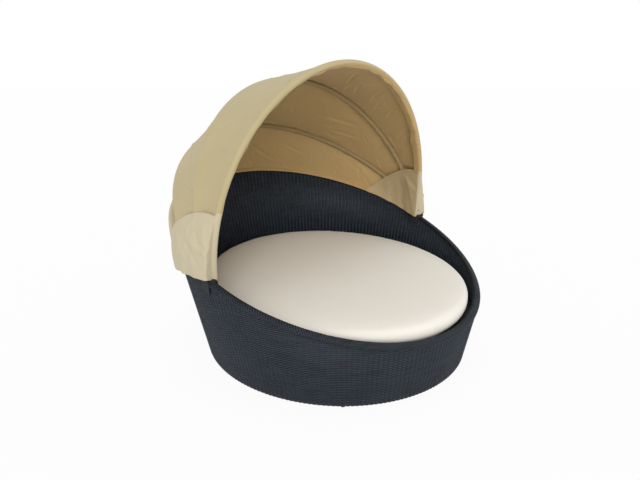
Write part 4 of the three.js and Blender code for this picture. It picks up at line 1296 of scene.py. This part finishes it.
class DAYBED_OT_hang_skirt(bpy.types.Operator):
    """Hang the skirt from the rear bow, outside the rim"""

    bl_idname = "daybed.hang_skirt"
    bl_label = "Hang Skirt"

    def execute(self, context):
        canopy = settings_of(context, "canopy")
        u = np.linspace(-1, 1, 401) * SKIRT_REACH
        third_u = np.clip(u / REAR_REACH, -1, 1) * THIRD_BOW.reach
        above = bow_point(THIRD_BOW, third_u, CREST)
        points = np.array(skirt_rows(u, above))
        piece = canopy_sheet("canopy_back_skirt", points, [canvas(canopy, "patch")], canopy)
        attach(piece, "basket")
        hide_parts("canopy_skirt")
        return {"FINISHED"}


# The stage


def soft_sun(name, towards, spread, strength):
    """Even light from one side, spread over an angle like a large softbox."""
    lamp = bpy.data.lights.new(name, "SUN")
    lamp.angle = math.radians(spread)
    lamp.energy = strength
    holder = bpy.data.objects.new(name, lamp)
    holder.rotation_euler = Vector(towards).to_track_quat("-Z", "Y").to_euler()
    bpy.context.scene.collection.objects.link(holder)


def seen_directly(tree):
    """1 on rays from the camera and on those that polished or clear surfaces send."""
    path = add_node(tree, "ShaderNodeLightPath")
    rays = [path.outputs[f"Is {kind} Ray"] for kind in ("Camera", "Glossy", "Transmission")]
    return math_node(tree, "MAXIMUM", math_node(tree, "MAXIMUM", *rays[:2]), rays[2])


def blend_shaders(tree, share, first, second):
    links = {0: share, 1: first, 2: second}
    return add_node(tree, "ShaderNodeMixShader", links=links).outputs[0]


class DAYBED_OT_set_stage(bpy.types.Operator):
    """Set the floor, the light and the camera"""

    bl_idname = "daybed.set_stage"
    bl_label = "Set Stage"

    def execute(self, context):
        stage = settings_of(context, "stage")
        shape = bmesh.new()
        bmesh.ops.create_grid(shape, x_segments=1, y_segments=1, size=200)
        floor = new_piece("studio_floor", mesh_from(shape, "studio_floor"))
        floor.data.materials.append(self.floor_paint(stage))

        world = bpy.data.worlds.new("studio")
        world.use_nodes = True
        context.scene.world = world
        tree = world.node_tree
        tree.nodes.clear()
        levels = []
        for strength in (stage.light_level, 1.0):
            inputs = {"Strength": strength, "Color": (1, 1, 1, 1)}
            levels.append(add_node(tree, "ShaderNodeBackground", inputs=inputs).outputs[0])
        chosen = blend_shaders(tree, seen_directly(tree), *levels)
        add_node(tree, "ShaderNodeOutputWorld", links={"Surface": chosen})

        soft_sun("front softbox", (0.75, 0.95, -0.5), 35, stage.front_level)
        soft_sun("top softbox", (0.1, 0.35, -1), 60, stage.top_level)

        camera = bpy.data.cameras.new("camera")
        camera.sensor_width = 36
        camera.lens = CAMERA_LENS
        camera.shift_x, camera.shift_y = CAMERA_SHIFT
        holder = bpy.data.objects.new("camera", camera)
        x, y, z = CAMERA_PLACE
        holder.location = (x, BASE_Y + y, z)
        aim = Vector((0, BASE_Y, 0)) - holder.location
        holder.rotation_euler = aim.to_track_quat("-Z", "Y").to_euler()
        context.scene.collection.objects.link(holder)
        context.scene.camera = holder
        context.scene.view_settings.view_transform = "Standard"
        return {"FINISHED"}

    def floor_paint(self, stage):
        """Matt white studio paint; part of it shows plain white, the rest keeps the shadow."""
        material, tree, surface = new_material(
            "studio floor paint", Roughness=0.9, **{"Base Color": opaque(stage.floor_colour)}
        )
        inputs = {"Color": (1, 1, 1, 1), "Strength": 1.0}
        white = add_node(tree, "ShaderNodeEmission", inputs=inputs).outputs[0]
        share = math_node(tree, "MULTIPLY", seen_directly(tree), value=stage.floor_white)
        shown = blend_shaders(tree, share, surface.outputs[0], white)
        output = next(node for node in tree.nodes if node.type == "OUTPUT_MATERIAL")
        tree.links.new(shown, output.inputs["Surface"])
        return material


OPERATORS = [
    DAYBED_OT_weave_tub,
    DAYBED_OT_wrap_rim,
    DAYBED_OT_finish_frame,
    DAYBED_OT_pad_cushion,
    DAYBED_OT_stretch_canopy,
    DAYBED_OT_bind_front,
    DAYBED_OT_sew_sleeves,
    DAYBED_OT_fit_corner_patches,
    DAYBED_OT_hang_skirt,
    DAYBED_OT_set_stage,
]
SETTINGS = {
    "tub": TubSettings,
    "cushion": CushionSettings,
    "canopy": CanopySettings,
    "stage": StageSettings,
}


class DAYBED_PT_sidebar(bpy.types.Panel):
    """Lists the steps and the sizes that can be changed"""

    bl_idname = "DAYBED_PT_sidebar"
    bl_label = "Woven Daybed"
    bl_space_type = "VIEW_3D"
    bl_region_type = "UI"
    bl_category = "Daybed"

    def draw(self, context):
        for part, group in SETTINGS.items():
            box = self.layout.box()
            box.label(text=part.title())
            for name in group.__annotations__:
                box.prop(settings_of(context, part), name)
        for operator in OPERATORS:
            self.layout.operator(operator.bl_idname)


CLASSES = (*SETTINGS.values(), *OPERATORS, DAYBED_PT_sidebar)


def register():
    for cls in CLASSES:
        bpy.utils.register_class(cls)
    for part, group in SETTINGS.items():
        setattr(bpy.types.Scene, "daybed_" + part, bpy.props.PointerProperty(type=group))


def unregister():
    for part in SETTINGS:
        delattr(bpy.types.Scene, "daybed_" + part)
    for cls in CLASSES:
        bpy.utils.unregister_class(cls)


def main():
    register()
    for operator in OPERATORS:
        group, name = operator.bl_idname.split(".")
        getattr(getattr(bpy.ops, group), name)()


if __name__ == "__main__":
    main()
